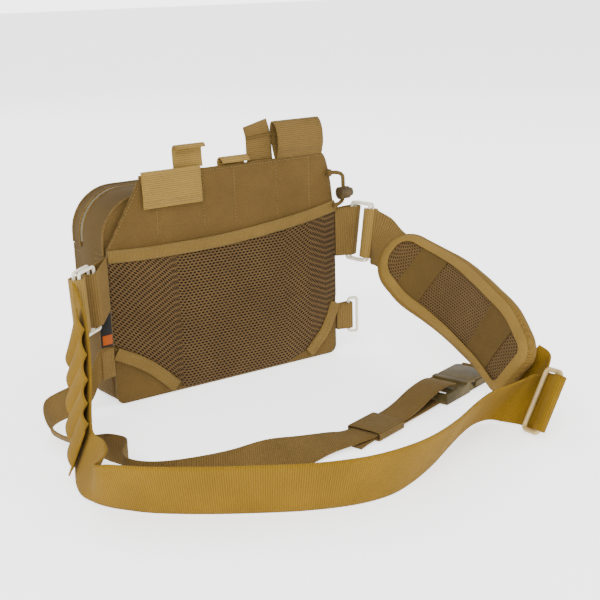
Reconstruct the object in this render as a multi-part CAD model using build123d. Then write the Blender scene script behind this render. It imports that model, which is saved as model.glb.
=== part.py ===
"""Binocular harness pack: a flat chest pack with a shoulder sling and a waist strap.

Millimetres, +Z up. The origin is the middle of the pack's flat base, on the surface it
stands on. +Y is the front of the pack, -Y the side worn against the body, and +X the
side that carries the padded end of the sling.
"""

from build123d import *
import math
import os

os.makedirs("parts", exist_ok=True)

# ---- driving dimensions -------------------------------------------------------------
BODY_W = 250.0  # pack width over the gussets
BODY_H = 193.0  # pack height at the top of the gusset
BODY_TOP_R = 40.0  # radius of the two top corners
BODY_BASE_R = 10.0  # radius of the two bottom corners
WALL = 2.0  # laminated fabric wall
REAR_Y = -30.0  # outer face of the wall behind the slot pocket
FRONT_Y = 37.0  # outer face of the front panel
BACK_Y = -37.0  # outer face of the worn back panel
HINGE_Z = 142.0  # seam about which the upper front opens
ZIP_Y = 15.0  # plane where the two zip tapes meet
ZIP_GAP = 0.4
COIL = 2.0
FIT = 0.4  # clearance between pieces that move against each other

PANEL_TOP_Z = 211.0  # top edge of the worn back panel
PANEL_SHOULDER_Z = 148.0  # height at which that edge starts to slope inwards
MESH_T = 1.2
BINDING_T = 2.4
BINDING_W = 12.0

WEB = 50.0  # main webbing width
WEB_T = 1.8  # webbing thickness
WIRE = 3.0  # wire of the rectangular rings
RING_SPAN = 22.0  # between the two long bars of a ring
RING_LONG = 58.0  # length of the long bars
RING_PAIR = 6.0  # the ring is two wire frames, this far apart

WAIST_WEB = 28.0
WAIST_ANGLE = 17.0  # heading of the buckle end of the waist strap, from +X
CORD_D = 4.0


def save(node, *solids):
    """Writes one node as one STEP file."""
    shape = solids[0] if len(solids) == 1 else Compound(children=list(solids))
    export_step(shape, f"parts/{node}.step")


def across(start_y, depth):
    """Sketch plane facing -Y, extruded by a positive amount towards +Y."""
    return Plane(origin=(0, start_y, 0), x_dir=(1, 0, 0), z_dir=(0, -1, 0)), -depth


def plate(face_of, start_y, depth):
    """Extrudes a sketch drawn in X and Z from start_y towards +Y."""
    plane, amount = across(start_y, depth)
    return extrude(plane * face_of, amount)


def body_outline(inset=0.0):
    """Front view of the pack, base on z = 0, pulled in by inset."""
    half = BODY_W / 2 - inset
    top, base = BODY_H - inset, inset
    big, small = BODY_TOP_R - inset, max(BODY_BASE_R - inset, 1.0)
    with BuildSketch() as sketch:
        with BuildLine():
            Line((-half + small, base), (half - small, base))
            RadiusArc((half - small, base), (half, base + small), -small)
            Line((half, base + small), (half, top - big))
            RadiusArc((half, top - big), (half - big, top), -big)
            Line((half - big, top), (-half + big, top))
            RadiusArc((-half + big, top), (-half, top - big), -big)
            Line((-half, top - big), (-half, base + small))
            RadiusArc((-half, base + small), (-half + small, base), -small)
        make_face()
    return sketch.sketch


def clip(shape, low_z, high_z):
    """Keeps what lies between two heights."""
    middle = (low_z + high_z) / 2
    return shape & Pos(0, 0, middle) * Box(2 * BODY_W, 4 * BODY_W, high_z - low_z)


def wall_band(start_y, depth, low_z, high_z, inset=0.0, wall=WALL):
    """Length of the gusset: a wall that follows the body outline."""
    band = plate(body_outline(inset), start_y, depth)
    band -= plate(body_outline(inset + wall), start_y - 1, depth + 2)
    return clip(band, low_z, high_z)


def strip_face(points, thickness):
    """Closed outline of a strip of even thickness about a list of 2-D points."""
    left, right = [], []
    last = len(points) - 1
    for i, (px, pz) in enumerate(points):
        ax, az = points[max(i - 1, 0)]
        bx, bz = points[min(i + 1, last)]
        length = math.hypot(bx - ax, bz - az)
        nx, nz = (az - bz) / length, (bx - ax) / length
        half = thickness / 2
        left.append((px + nx * half, pz + nz * half))
        right.append((px - nx * half, pz - nz * half))
    return make_face(Polyline(*left, *reversed(right), close=True))


def side_strip(points, thickness, low_x, high_x):
    """Strip drawn in Y and Z, as wide as low_x to high_x."""
    plane = Plane(origin=(low_x, 0, 0), x_dir=(0, 1, 0), z_dir=(1, 0, 0))
    return extrude(plane * strip_face(points, thickness), high_x - low_x)


def arc_points(centre, radius, start, end, steps):
    """Points of an arc in a 2-D plane, angles in degrees."""
    points = []
    for i in range(steps + 1):
        angle = math.radians(start + (end - start) * i / steps)
        points.append(
            (centre[0] + radius * math.cos(angle), centre[1] + radius * math.sin(angle))
        )
    return points


def ribbon(stations, low=(0.0, 0.0), high=(1.0, 0.0), bottom=-WEB_T / 2, top=WEB_T / 2):
    """Ruled band through pairs of edge points.

    A station is (lower edge, upper edge). low and high give where the band starts and
    ends across it, each as (share of the width, millimetres added); bottom and top are
    its two faces, measured from the mid surface towards the side that the band shows.
    """
    pairs = [(Vector(*a), Vector(*b)) for a, b in stations]
    middles = [(a + b) * 0.5 for a, b in pairs]
    rings = []
    for i, (a, b) in enumerate(pairs):
        ahead = middles[min(i + 1, len(pairs) - 1)] - middles[max(i - 1, 0)]
        out = ahead.cross(b - a).normalized()
        unit = (b - a).normalized()
        first = a + (b - a) * low[0] + unit * low[1]
        second = a + (b - a) * high[0] + unit * high[1]
        rings.append(
            [
                first + out * bottom,
                second + out * bottom,
                second + out * top,
                first + out * top,
            ]
        )
    return faceted(rings)


def faceted(rings):
    """Closed solid through four-cornered sections, each side split into flat triangles."""
    faces = [Face(Wire.make_polygon(rings[0])), Face(Wire.make_polygon(rings[-1]))]
    for near, far in zip(rings, rings[1:]):
        for k in range(4):
            a, b = near[k], near[(k + 1) % 4]
            c, d = far[(k + 1) % 4], far[k]
            if k == 2:  # the upper face is cut along the same diagonal as the lower one
                a, b, c, d = b, c, d, a
            faces.append(Face(Wire.make_polygon([a, b, c])))
            faces.append(Face(Wire.make_polygon([a, c, d])))
    solid = Solid(Shell(faces))
    return solid if solid.volume > 0 else Solid(-solid.shell())


def between(stations, start, end, steps):
    """Stations picked out of a longer band, start and end counted in stations."""
    picked = []
    for i in range(steps + 1):
        at = start + (end - start) * i / steps
        k = min(int(at), len(stations) - 2)
        share = at - k
        pair = []
        for side in (0, 1):
            a = Vector(*stations[k][side])
            b = Vector(*stations[k + 1][side])
            pair.append(tuple(a + (b - a) * share))
        picked.append(tuple(pair))
    return picked


# ---- pack: shell of the main compartment ----------------------------------------------
GUSSET_Y0 = REAR_Y + WALL
COIL_REAR_Y0 = ZIP_Y - ZIP_GAP / 2 - COIL
COIL_FRONT_Y0 = ZIP_Y + ZIP_GAP / 2
PANEL_Y0 = FRONT_Y - WALL

save("rear_panel", plate(body_outline(), REAR_Y, WALL))
save("lower_gusset", wall_band(GUSSET_Y0, PANEL_Y0 - GUSSET_Y0, -1, HINGE_Z))
save(
    "upper_gusset_rear",
    wall_band(GUSSET_Y0, COIL_REAR_Y0 - GUSSET_Y0, HINGE_Z, BODY_H + 1),
)
save("zip_coil_rear", wall_band(COIL_REAR_Y0, COIL, HINGE_Z, BODY_H + 1, -0.4, 2.8))
save("front_panel_lower", clip(plate(body_outline(), PANEL_Y0, WALL), -1, HINGE_Z))

# ---- pack: upper front, which opens about the seam at HINGE_Z --------------------------
FLAP_Z = HINGE_Z + FIT
save("zip_coil_front", wall_band(COIL_FRONT_Y0, COIL, FLAP_Z, BODY_H + 1, -0.4, 2.8))
save(
    "upper_gusset_front",
    wall_band(
        COIL_FRONT_Y0 + COIL, PANEL_Y0 - COIL_FRONT_Y0 - COIL, FLAP_Z, BODY_H + 1
    ),
)
save("front_panel_upper", clip(plate(body_outline(), PANEL_Y0, WALL), FLAP_Z, BODY_H + 1))

# ---- pack: front webbing, loop patch and the sleeve inside -----------------------------
PALS_W = 25.0
pals = []
for row_z in (20.0, 58.0, 96.0):
    row = Pos(0, FRONT_Y + WEB_T / 2, row_z + PALS_W / 2) * Box(204, WEB_T, PALS_W)
    pals.append(row)
save("front_webbing_rows", *pals)
save("front_loop_patch", Pos(0, FRONT_Y + 0.8, 170) * Box(120, 1.6, 28))

SLEEVE_Y = -22.0
sleeve = Pos(0, SLEEVE_Y + 0.6, 62) * Box(210, 1.2, 116)
sleeve_sides = []
for side in (-1, 1):
    sleeve_sides.append(
        Pos(side * 104, (GUSSET_Y0 + SLEEVE_Y) / 2, 62)
        * Box(2, SLEEVE_Y - GUSSET_Y0, 116)
    )
sleeve_base = Pos(0, (GUSSET_Y0 + SLEEVE_Y) / 2, 5) * Box(206, SLEEVE_Y - GUSSET_Y0, 2)
save("inner_sleeve", sleeve + sleeve_sides[0] + sleeve_sides[1] + sleeve_base)

# ---- zip sliders and pulls --------------------------------------------------------------
SLIDER_L, SLIDER_W = 12.0, 6.0
SLIDER_Z = BODY_H + 0.4 + FIT
SLIDER_Y = ZIP_Y - ZIP_GAP / 2 - SLIDER_W / 2
PULL_AXIS_Z = SLIDER_Z + 5.6
PULL_EYE_R = 2.8
for name, x in (("left", -18.0), ("right", 12.0)):
    slider = Pos(x, SLIDER_Y, SLIDER_Z + 1) * Box(SLIDER_L, SLIDER_W, 2)
    for end in (-1, 1):
        slider += Pos(x + end * 4.2, SLIDER_Y, SLIDER_Z + 3.5) * Box(1.6, 2, 3.2)
    slider += Pos(x, SLIDER_Y, PULL_AXIS_Z) * Box(10, 2, 1.2)
    save(f"zip_slider_{name}", slider)
    pull = Cylinder(PULL_EYE_R, 1.6, rotation=(0, 90, 0))
    pull += Pos(0, -PULL_EYE_R - 10, 0) * Box(6, 22, 1.6)
    pull -= Cylinder(1.5, 8, rotation=(0, 90, 0))
    save(f"zip_pull_{name}", Pos(x, SLIDER_Y, PULL_AXIS_Z) * Rot(8, 0, 0) * pull)

# ---- worn back panel with the slot pocket behind it -------------------------------------
half_w = BODY_W / 2
with BuildSketch() as back_sketch:
    with BuildLine():
        Line((-half_w + 8, 0), (half_w - 8, 0))
        RadiusArc((half_w - 8, 0), (half_w, 8), -8)
        Line((half_w, 8), (half_w, PANEL_SHOULDER_Z))
        ThreePointArc((half_w, PANEL_SHOULDER_Z), (121, 184), (112, PANEL_TOP_Z))
        Line((112, PANEL_TOP_Z), (-87, PANEL_TOP_Z))
        Line((-87, PANEL_TOP_Z), (-half_w, PANEL_SHOULDER_Z))
        Line((-half_w, PANEL_SHOULDER_Z), (-half_w, 8))
        RadiusArc((-half_w, 8), (-half_w + 8, 0), -8)
    make_face()
save("back_panel", plate(back_sketch.sketch, BACK_Y, WALL))

SLOT_EDGE = 5.0
slot_edge = wall_band(
    BACK_Y + WALL, REAR_Y - BACK_Y - WALL, -1, PANEL_SHOULDER_Z, 0.0, SLOT_EDGE
)
save("slot_pocket_edge", slot_edge)

# ---- mesh pocket over the back panel, its top binding and corner bindings ----------------
MESH_Y = BACK_Y - MESH_T
CORNER_X, CORNER_Z = 62.0, 12.0  # where the left corner binding meets the base
sag = [(-half_w, 142), (-85, 140), (-20, 140), (30, 143), (85, 149), (half_w, 156)]
with BuildSketch() as mesh_sketch:
    with BuildLine():
        Polyline(
            *[(x, z - BINDING_W / 2 - 0.4) for x, z in sag],
            (half_w, 62),
            (112, 34),
            (92, 12),
            (CORNER_X, 2),
            (-CORNER_X + 6, 2),
            (-CORNER_X, 12),
            (-96, 39),
            (-half_w, 58),
            close=True,
        )
    make_face()
save("mesh_pocket", plate(mesh_sketch.sketch, MESH_Y, MESH_T))
top_binding = plate(strip_face(sag, BINDING_W), BACK_Y - BINDING_T, BINDING_T)
save("mesh_top_binding", top_binding & plate(body_outline(), BACK_Y - BINDING_T, BINDING_T))
left_corner = [(-124, 51), (-92, 32), (-64, 6)]
right_corner = [(123, 56), (111, 29), (90, 7)]
bindings = []
for corner in (left_corner, right_corner):
    binding = plate(strip_face(corner, BINDING_W), MESH_Y - BINDING_T, BINDING_T)
    bindings.append(binding & plate(body_outline(), MESH_Y - BINDING_T, BINDING_T))
save("mesh_corner_bindings", *bindings)

# ---- straps along the top edge of the back panel ------------------------------------------
OUTER_Y = BACK_Y + WALL + 1.1  # mid surface of the outer anchors, inside the slot
INNER_Y = OUTER_Y + 2.0
FOLD_Y = BACK_Y + 0.3  # centre of the fold over the top edge
FOLD_Z = PANEL_TOP_Z + 0.4
FOLD_R = 3.0
anchors = []
for low_x, high_x, y in (
    (-88, -27, OUTER_Y),
    (-52, -21, INNER_Y),
    (28, 57, INNER_Y),
    (59, 112, OUTER_Y),
):
    anchors.append(
        Pos((low_x + high_x) / 2, y, 199.5) * Box(high_x - low_x, WEB_T, 22)
    )
save("strap_anchors", *anchors)

flap_path = arc_points((FOLD_Y, FOLD_Z), FOLD_R, 130, 180, 4)
flap_path += [(FOLD_Y - 3.6, 204), (FOLD_Y - 4.6, 192), (FOLD_Y - 4.4, 181)]
save("wide_flap_left", side_strip(flap_path, WEB_T, -88, -27))

curl = [(INNER_Y, 212), (INNER_Y + 1.0, 219), (INNER_Y + 1.4, 226)]
curl += arc_points((INNER_Y - 3.2, 229), 4.6, 0, 150, 6)
save("narrow_strap_left", side_strip(curl, WEB_T, -51, -20))

save(
    "narrow_strap_right",
    ribbon(
        [
            ((28, INNER_Y, 212), (57, INNER_Y, 212)),
            ((26, INNER_Y - 1, 231), (54, INNER_Y - 1, 231)),
            ((24, INNER_Y - 3, 245), (50, INNER_Y - 3, 248)),
        ]
    ),
)

loop_path = [(-38.6, 214), (-41.5, 224), (-42, 236), (-39.5, 243)]
loop_path += [(-35.5, 246), (-31.5, 243.5), (-29.4, 236), (-29.6, 224), (-31.5, 214)]
wide_loop = []
for y, z in loop_path:
    lean = (z - 211) * 0.1
    wide_loop.append(((59 - lean, y, z), (112 - lean, y, z)))
save("wide_loop_right", ribbon(wide_loop))

roll = arc_points((-33.6, 212.0), 5.4, -60, 172, 12)
save("low_roll_loop", side_strip(roll, WEB_T, -3, 27))

# ---- drawcord at the top right corner and its cord lock ------------------------------------
CORD_Y = BACK_Y - BINDING_T - CORD_D / 2 - 0.3
LOCK_X, LOCK_Z, LOCK_R = 134.0, 168.5, 6.2
CORD_TOP_Z, CORD_LOW_Z = 190.5, 158.0
cord_points = [
    (119.6, CORD_Y, CORD_TOP_Z),
    (LOCK_X - 0.6, CORD_Y, CORD_TOP_Z - 0.5),
    (LOCK_X, CORD_Y, CORD_LOW_Z),
    (124.6, CORD_Y, CORD_LOW_Z - 0.6),
]
CORD_RADII = (6.2, 4.2)
print("drawcord radii", CORD_RADII)
cord_path = FilletPolyline(*cord_points, radius=list(CORD_RADII))
cord_start = Plane(origin=cord_path @ 0, z_dir=cord_path % 0)
save("drawcord", sweep(cord_start * Circle(CORD_D / 2), path=cord_path))
print("drawcord length", cord_path.length)

EYE_D = 6.6  # depth of the sewn eyes that hold the two ends of the cord
save(
    "drawcord_eyes",
    Pos(117.4, BACK_Y - EYE_D / 2, CORD_TOP_Z) * Box(4, EYE_D, 7),
    Pos(122.4, BACK_Y - BINDING_T - EYE_D / 2, CORD_LOW_Z - 0.6) * Box(4, EYE_D, 5),
)

lock_at = Pos(LOCK_X, CORD_Y, LOCK_Z)
lock = lock_at * Cylinder(LOCK_R, 11, rotation=(0, 90, 0))
lock -= lock_at * Pos(2, 0, 0) * Cylinder(4.8, 11, rotation=(0, 90, 0))
lock -= lock_at * Cylinder(CORD_D / 2 + FIT, 20)
save("cord_lock_body", lock)
button = lock_at * Pos(4.5, 0, 0) * Cylinder(4.4, 10, rotation=(0, 90, 0))
button -= lock_at * Pos(0.6, 0, 0) * Box(2 * CORD_D, CORD_D + 1, 20)
save("cord_lock_button", button)

# ---- side tabs, rings and the webbing loops round their outer bars --------------------------
RING_R = 6.5  # mid line of a webbing loop round a bar pair


def tab_band(seam, bar_low, bar_high, radius):
    """Doubled webbing from an upright seam, round a bar and back to the seam."""
    low, high = Vector(*bar_low), Vector(*bar_high)
    seam_low, seam_high = Vector(*seam[0]), Vector(*seam[1])
    along = ((low + high) - (seam_low + seam_high)).normalized()
    out = along.cross(high - low).normalized()
    stations = [(seam_low + out * 0.95, seam_high + out * 0.95)]
    for i in range(11):
        angle = math.radians(105 - 21 * i)
        shift = along * (radius * math.cos(angle)) + out * (radius * math.sin(angle))
        stations.append((low + shift, high + shift))
    stations.append((seam_low - out * 0.95, seam_high - out * 0.95))
    return ribbon([(tuple(a), tuple(b)) for a, b in stations])


def ends_of(middle, axis, length):
    """The two ends of a bar from its middle, its direction and its length."""
    half = Vector(*axis).normalized() * (length / 2)
    return tuple(Vector(*middle) - half), tuple(Vector(*middle) + half)


def wire_ring(bar, long_axis, side, span, length, wire, pair):
    """Two rectangular wire frames. bar is the middle of the bar held in the tab."""
    up = Vector(*long_axis).normalized()
    side = Vector(*side)
    side = (side - up * up.dot(side)).normalized()
    frame = Plane(origin=Vector(*bar), x_dir=side, z_dir=side.cross(up))
    outer = Pos(span / 2, 0) * RectangleRounded(span + wire, length + wire, 2.6)
    inner = Pos(span / 2, 0) * RectangleRounded(span - wire, length - wire, 1.2)
    wires = []
    for offset in (-pair / 2, pair / 2):
        loop = extrude(Plane(frame.location * Pos(0, 0, offset)) * (outer - inner), wire / 2, both=True)
        wires.append(chamfer(loop.edges().group_by(SortBy.LENGTH)[-1], 0.6))
    return wires


def bar_sleeve(bar, long_axis, radius, width):
    """Webbing rolled round the two outer bars of a ring pair."""
    up = Vector(*long_axis).normalized()
    base = Plane(origin=Vector(*bar) - up * (width / 2), z_dir=up)
    tube = Circle(radius + WEB_T / 2) - Circle(radius - WEB_T / 2)
    return extrude(base * tube, width)


RIGHT_BAR = (146.0, -38.0, 128.0)
RIGHT_UP = (0.139, 0.0, 0.990)
RIGHT_SIDE = (0.29, -0.955, -0.04)
LEFT_BAR = (-144.0, -45.0, 110.0)
LEFT_UP = (-0.05, -0.03, 0.998)
LEFT_SIDE = (-0.832, -0.512, -0.217)

for name, bar, up, side, seam in (
    ("right", RIGHT_BAR, RIGHT_UP, RIGHT_SIDE, ((126.4, -36, 103), (126.4, -36, 153))),
    ("left", LEFT_BAR, LEFT_UP, LEFT_SIDE, ((-126.4, -36, 93), (-126.4, -36, 142))),
):
    low, high = ends_of(bar, up, WEB)
    save(f"upper_tab_{name}", tab_band(seam, low, high, RING_R))
    save(f"ring_{name}", *wire_ring(bar, up, side, RING_SPAN, RING_LONG, WIRE, RING_PAIR))
    reach = Vector(*side) - Vector(*up) * Vector(*side).dot(Vector(*up))
    outer_bar = Vector(*bar) + reach.normalized() * RING_SPAN
    save(f"ring_sleeve_{name}", bar_sleeve(tuple(outer_bar), up, RING_R, WEB))

WAIST_Z0, WAIST_Z1 = 30.0, 30.0 + WAIST_WEB
PLY = WEB_T + 0.15  # from the middle of the sewn strap end to the middle of a tab ply
plies = []
for side in (-1, 1):
    plies.append(
        ribbon(
            [
                ((-126.4, -36.6 + side * PLY, WAIST_Z0), (-126.4, -36.6 + side * PLY, WAIST_Z1)),
                ((-140, -41.3 + side * PLY, WAIST_Z0), (-140, -41.3 + side * PLY, WAIST_Z1)),
            ]
        )
    )
save("lower_tab_left", *plies)

SLIDER_BAR = (140.5, -38.4, 38.0)
low, high = ends_of(SLIDER_BAR, (0, 0, 1), WAIST_WEB)
save("lower_tab_right", tab_band(((126.6, -36, 24), (126.6, -36, 52)), low, high, 3.6))
SLIDER_LONG, SLIDER_SPAN, SLIDER_WIRE = 36.0, 9.0, 3.2
slider_side = (1, -0.4, 0)
save(
    "lower_slider_bar",
    wire_ring(SLIDER_BAR, (0, 0, 1), slider_side, SLIDER_SPAN, SLIDER_LONG, SLIDER_WIRE, 0)[0],
)

LABEL_W, LABEL_T = 12.0, 0.8
label_at = Pos(-126.2, -37.8, 0) * Rot(0, 0, 8) * Pos(-LABEL_W / 2, 0, 0)
save("side_label", label_at * Pos(0, 0, 75.0) * Box(LABEL_W, LABEL_T, 31))
save("side_label_block", label_at * Pos(0.5, -0.65, 66) * Box(10, 0.5, 9))

# ---- sling: main strap, from the left ring down to the floor and round to the tri-glide ------
# Each station is the strap's lower edge and its upper edge.
DAISY = [
    ((-174.2, -61.9, 71.6), (-171.3, -83.9, 114.7)),
    ((-178, -69, 65), (-174, -96, 107)),
    ((-186, -87, 52), (-182, -118, 91)),
    ((-195, -104, 38), (-190, -136, 76)),
    ((-204, -122, 24), (-198, -152, 63)),
    ((-212, -142, 11), (-206, -168, 53)),
]
FRONT_BAND = [
    ((-221, -163, 1), (-213, -186, 46)),
    ((-227, -180, 1), (-213, -205, 46)),
    ((-230, -195, 1), (-218, -222, 45)),
    ((-229, -206, 1), (-227, -232, 44)),
    ((-226, -215, 1), (-236, -238, 44)),
    ((-221, -226, 1), (-236, -246, 46)),
    ((-213, -238, 1), (-229, -253, 47)),
    ((-198, -256, 1), (-211, -271, 47)),
    ((-169, -280, 1), (-180, -295, 47)),
    ((-137, -302, 1), (-146, -318, 47)),
    ((-105, -321, 1), (-112, -339, 47)),
    ((-72, -334, 1), (-75, -353, 47)),
    ((-42, -337, 1), (-41, -356, 47)),
    ((-13, -329, 1), (-8, -350, 46)),
    ((18, -315, 1), (28, -336, 45)),
    ((52, -296, 1), (65, -317, 44)),
    ((80, -281, 1), (93, -305, 43)),
    ((100, -274, 2), (112, -303, 43)),
    ((115, -276, 3), (129, -304, 45)),
    ((122, -288, 3), (138, -306, 48)),
    ((126, -301, 4), (151, -305, 45)),
]

# The strap ends round the far bar of the tri-glide.
GLIDE_UP = Vector(0.52, 0.03, 0.855).normalized()
GLIDE_SIDE = Vector(-0.08, -0.99, 0.08)
GLIDE_SIDE = (GLIDE_SIDE - GLIDE_UP * GLIDE_SIDE.dot(GLIDE_UP)).normalized()
GLIDE_OUT = GLIDE_UP.cross(GLIDE_SIDE)
GLIDE_BAR = Vector(135.0, -312.5, 29.0)
GLIDE_SPAN, GLIDE_LONG, GLIDE_WIRE = 18.0, 55.0, 4.0
wrap = []
for side, out in (
    (0, 3.4), (12, 3.4), (19, 3.4), (22.2, 1.8), (22.2, -1.8), (19, -3.4), (14, -3.0)
):
    middle = GLIDE_BAR + GLIDE_SIDE * side + GLIDE_OUT * out
    half = GLIDE_UP * (WEB / 2)
    wrap.append((tuple(middle - half), tuple(middle + half)))
save("main_strap", ribbon(DAISY + FRONT_BAND + wrap))

# Outer layer of webbing on the first part of the sling, sewn down at even steps into loops.
LOOP_COUNT = 6
loops = []
for i in range(LOOP_COUNT):
    start = 0.25 + i * 0.86
    piece = between(DAISY + FRONT_BAND[:1], start, start + 0.78, 3)
    loops.append(ribbon(piece, (0.0, 1.0), (1.0, -1.0), WEB_T / 2 + 0.5, WEB_T * 1.5 + 1.2))
save("daisy_loops", *loops)

# ---- sling: shoulder pad -----------------------------------------------------------------------
PAD = [
    ((137, -84, 93), (182, -84, 132)),
    ((141, -100, 80), (187, -104, 125)),
    ((145, -118, 66), (193, -131, 117)),
    ((150, -147, 55), (190, -163, 113)),
    ((151, -176, 46), (181, -197, 108)),
    ((149, -204, 37), (171, -229, 102)),
    ((146, -230, 28), (162, -264, 91)),
    ((143, -251, 17), (153, -292, 70)),
]
PAD_LINE = between(PAD, 0, 7, 28)
PAD_EDGE = 9.0
CORE = 3.6
save("pad_core", ribbon(PAD_LINE, (0, PAD_EDGE), (1, -PAD_EDGE), -CORE, CORE))
save("pad_mesh_face", ribbon(PAD_LINE, (0, PAD_EDGE), (1, -PAD_EDGE), CORE, CORE + 1.2))
save("pad_outer_face", ribbon(PAD_LINE, (0, PAD_EDGE), (1, -PAD_EDGE), -CORE - 1.2, -CORE))
rolled = CORE + 1.8
save("pad_binding_lower", ribbon(PAD_LINE, (0, 0), (0, PAD_EDGE), -rolled, rolled))
save("pad_binding_upper", ribbon(PAD_LINE, (1, -PAD_EDGE), (1, 0), -rolled, rolled))
patches = []
for start in (1.25, 5.25):
    piece = between(PAD, start, start + 1.25, 5)
    patches.append(
        ribbon(piece, (0, PAD_EDGE + 1), (1, -PAD_EDGE - 1), CORE + 1.6, CORE + 2.6)
    )
save("pad_patches", *patches)
inset = PAD_EDGE + 3
save("pad_back_webbing", ribbon(PAD_LINE, (0, inset), (1, -inset), -CORE - 3.0, -CORE - 1.2))

# ---- sling: tri-glide and the webbing that joins it to the pad -----------------------------------
save(
    "tri_glide",
    wire_ring(
        tuple(GLIDE_BAR), tuple(GLIDE_UP), tuple(GLIDE_SIDE), GLIDE_SPAN, GLIDE_LONG, GLIDE_WIRE, 0
    )[0],
)
tail = [((150, -262, 24), (161, -290, 66)), ((152, -276, 13), (167, -298, 58))]
for side, out in ((-9, 9.5), (0, 6.6), (7, 6.0)):
    middle = GLIDE_BAR + GLIDE_SIDE * side + GLIDE_OUT * out
    half = GLIDE_UP * (WEB / 2)
    tail.append((tuple(middle - half), tuple(middle + half)))
save("pad_tail_webbing", ribbon(tail))

# ---- waist strap: on the floor from the lower left tab to the buckle --------------------------------
WAIST = [
    ((-128, -37.2, WAIST_Z0), (-128, -37.2, WAIST_Z1)),
    ((-142, -42, WAIST_Z0), (-142, -42, WAIST_Z1)),
    ((-150, -40, 14), (-149, -38, 42)),
    ((-160, -37, 3), (-158, -33, 31)),
    ((-172, -38, 1), (-171, -34, 28)),
    ((-186, -44, 1), (-187, -42, 28)),
    ((-197, -54, 1), (-199, -50, 27)),
    ((-201, -68, 1), (-208, -68, 24)),
    ((-199, -84, 1), (-211, -87, 17)),
    ((-194, -100, 1), (-207, -106, 14)),
    ((-190, -118, 1), (-200, -121, 16)),
    ((-188, -136, 1), (-192, -138, 22)),
    ((-185, -152, 1), (-186, -154, 27)),
    ((-180, -168, 1), (-180, -170, 28)),
    ((-184, -182, 1), (-185, -183, 28)),
    ((-192, -194, 1), (-194, -196, 28)),
    ((-194, -208, 1), (-196, -210, 28)),
    ((-184, -222, 1), (-186, -225, 28)),
    ((-164, -234, 1), (-165, -236, 28)),
    ((-130, -246, 1), (-129, -244, 28)),
    ((-95, -252, 1), (-92, -242, 27)),
    ((-62, -256, 1), (-55, -234, 18)),
    ((-30, -251, 3), (-22, -225, 9)),
]
heading = math.radians(WAIST_ANGLE)
ahead_x, ahead_y = math.cos(heading), math.sin(heading)
WAIST_LINE = -229.0  # distance of the straight end of the strap from the origin


def on_line(s, across_line, z):
    """Point of the buckle end: s along it, across_line to its far side."""
    b = WAIST_LINE + across_line
    return (s * ahead_x - b * ahead_y, s * ahead_y + b * ahead_x, z)


half_web = WAIST_WEB / 2
LAYER_Z = 5.2  # mid surface of the upper layer inside the keeper
for s, z in (
    (-64, LAYER_Z), (-18, LAYER_Z), (4, 7.5), (24, 12.5), (42, 15.2), (56, 15.2), (67, 12.5)
):
    WAIST.append((on_line(s, -half_web, z), on_line(s, half_web, z)))
save("waist_strap", ribbon(WAIST))

RETURN_Z = 2.6
return_line = []
for s, z in ((-82, 1.2), (-64, RETURN_Z), (-18, RETURN_Z), (10, RETURN_Z), (30, 3.0), (40, 3.2)):
    return_line.append((on_line(s, -half_web, z), on_line(s, half_web, z)))
save("waist_strap_return", ribbon(return_line))

line_frame = Location((-WAIST_LINE * ahead_y, WAIST_LINE * ahead_x, 0), (0, 0, WAIST_ANGLE))
KEEPER_S, KEEPER_L = -42.0, 36.0
keeper = Box(KEEPER_L, WAIST_WEB + 6.0, 8.6) - Box(KEEPER_L + 2, WAIST_WEB + 2.4, 5.6)
save("strap_keeper", line_frame * Pos(KEEPER_S, 0, 4.3) * keeper)

# ---- side-release buckle -------------------------------------------------------------------------------
BUCKLE_W, BUCKLE_H = 38.0, 12.0
MALE_S, SPLIT_S, FEMALE_END = 43.0, 84.0, 126.0
PRONG_Y, PRONG_W = 12.6, 4.0
BASE_Z = 0.6


def box_between(low, high):
    """Box from its lowest to its highest corner."""
    size = [h - l for l, h in zip(low, high)]
    middle = [(l + h) / 2 for l, h in zip(low, high)]
    return Pos(*middle) * Box(*size)


half_b = BUCKLE_W / 2
male = box_between((MALE_S, -half_b, BASE_Z), (MALE_S + 5, half_b, 9.5))
male += box_between((60, -half_b, 4.6), (64.5, half_b, 9.5))
male += box_between((77, -half_b, BASE_Z), (SPLIT_S - 0.4, half_b, BUCKLE_H))
for side in (-1, 1):
    low_y, high_y = sorted((side * half_b, side * (half_b - 3.6)))
    male += box_between((MALE_S, low_y, BASE_Z), (77, high_y, 10.5))
male += box_between((SPLIT_S - 1, -2.5, 3), (112, 2.5, 9))
save("buckle_male", line_frame * male)

for name, side in (("near", -1), ("far", 1)):
    low_y, high_y = sorted((side * (PRONG_Y - PRONG_W / 2), side * (PRONG_Y + PRONG_W / 2)))
    prong = box_between((SPLIT_S, low_y, 3), (113, high_y, 9))
    low_y, high_y = sorted((side * PRONG_Y, side * (half_b + 0.6)))
    prong += box_between((93, low_y, 3), (109, high_y, 9))
    save(f"buckle_prong_{name}", line_frame * prong)

female = box_between((SPLIT_S, -half_b, BASE_Z), (FEMALE_END, half_b, BUCKLE_H))
female = chamfer(female.edges().filter_by(Axis.X), 1.5)
female -= box_between((SPLIT_S - 1, -half_b + 2.6, 2.4), (115, half_b - 2.6, 9.8))
female -= box_between((91.5, -half_b - 1, 2.4), (110.5, half_b + 1, 9.8))
female -= box_between((118, -half_web - 1, -1), (122, half_web + 1, 20))
female -= box_between((118, -half_b - 1, -1), (FEMALE_END + 1, half_b + 1, 3.0))
female -= box_between((118, -half_b - 1, 9.4), (FEMALE_END + 1, half_b + 1, 20))
save("buckle_female", line_frame * female)

end_loop = [(134.0, 7.2), *arc_points((124.0, 6.2), 4.9, 40, 320, 12), (134.0, 5.2)]
plane = Plane(line_frame * Pos(0, half_web, 0) * Rot(90, 0, 0))
save("buckle_end_loop", extrude(plane * strip_face(end_loop, WEB_T), WAIST_WEB))
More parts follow.
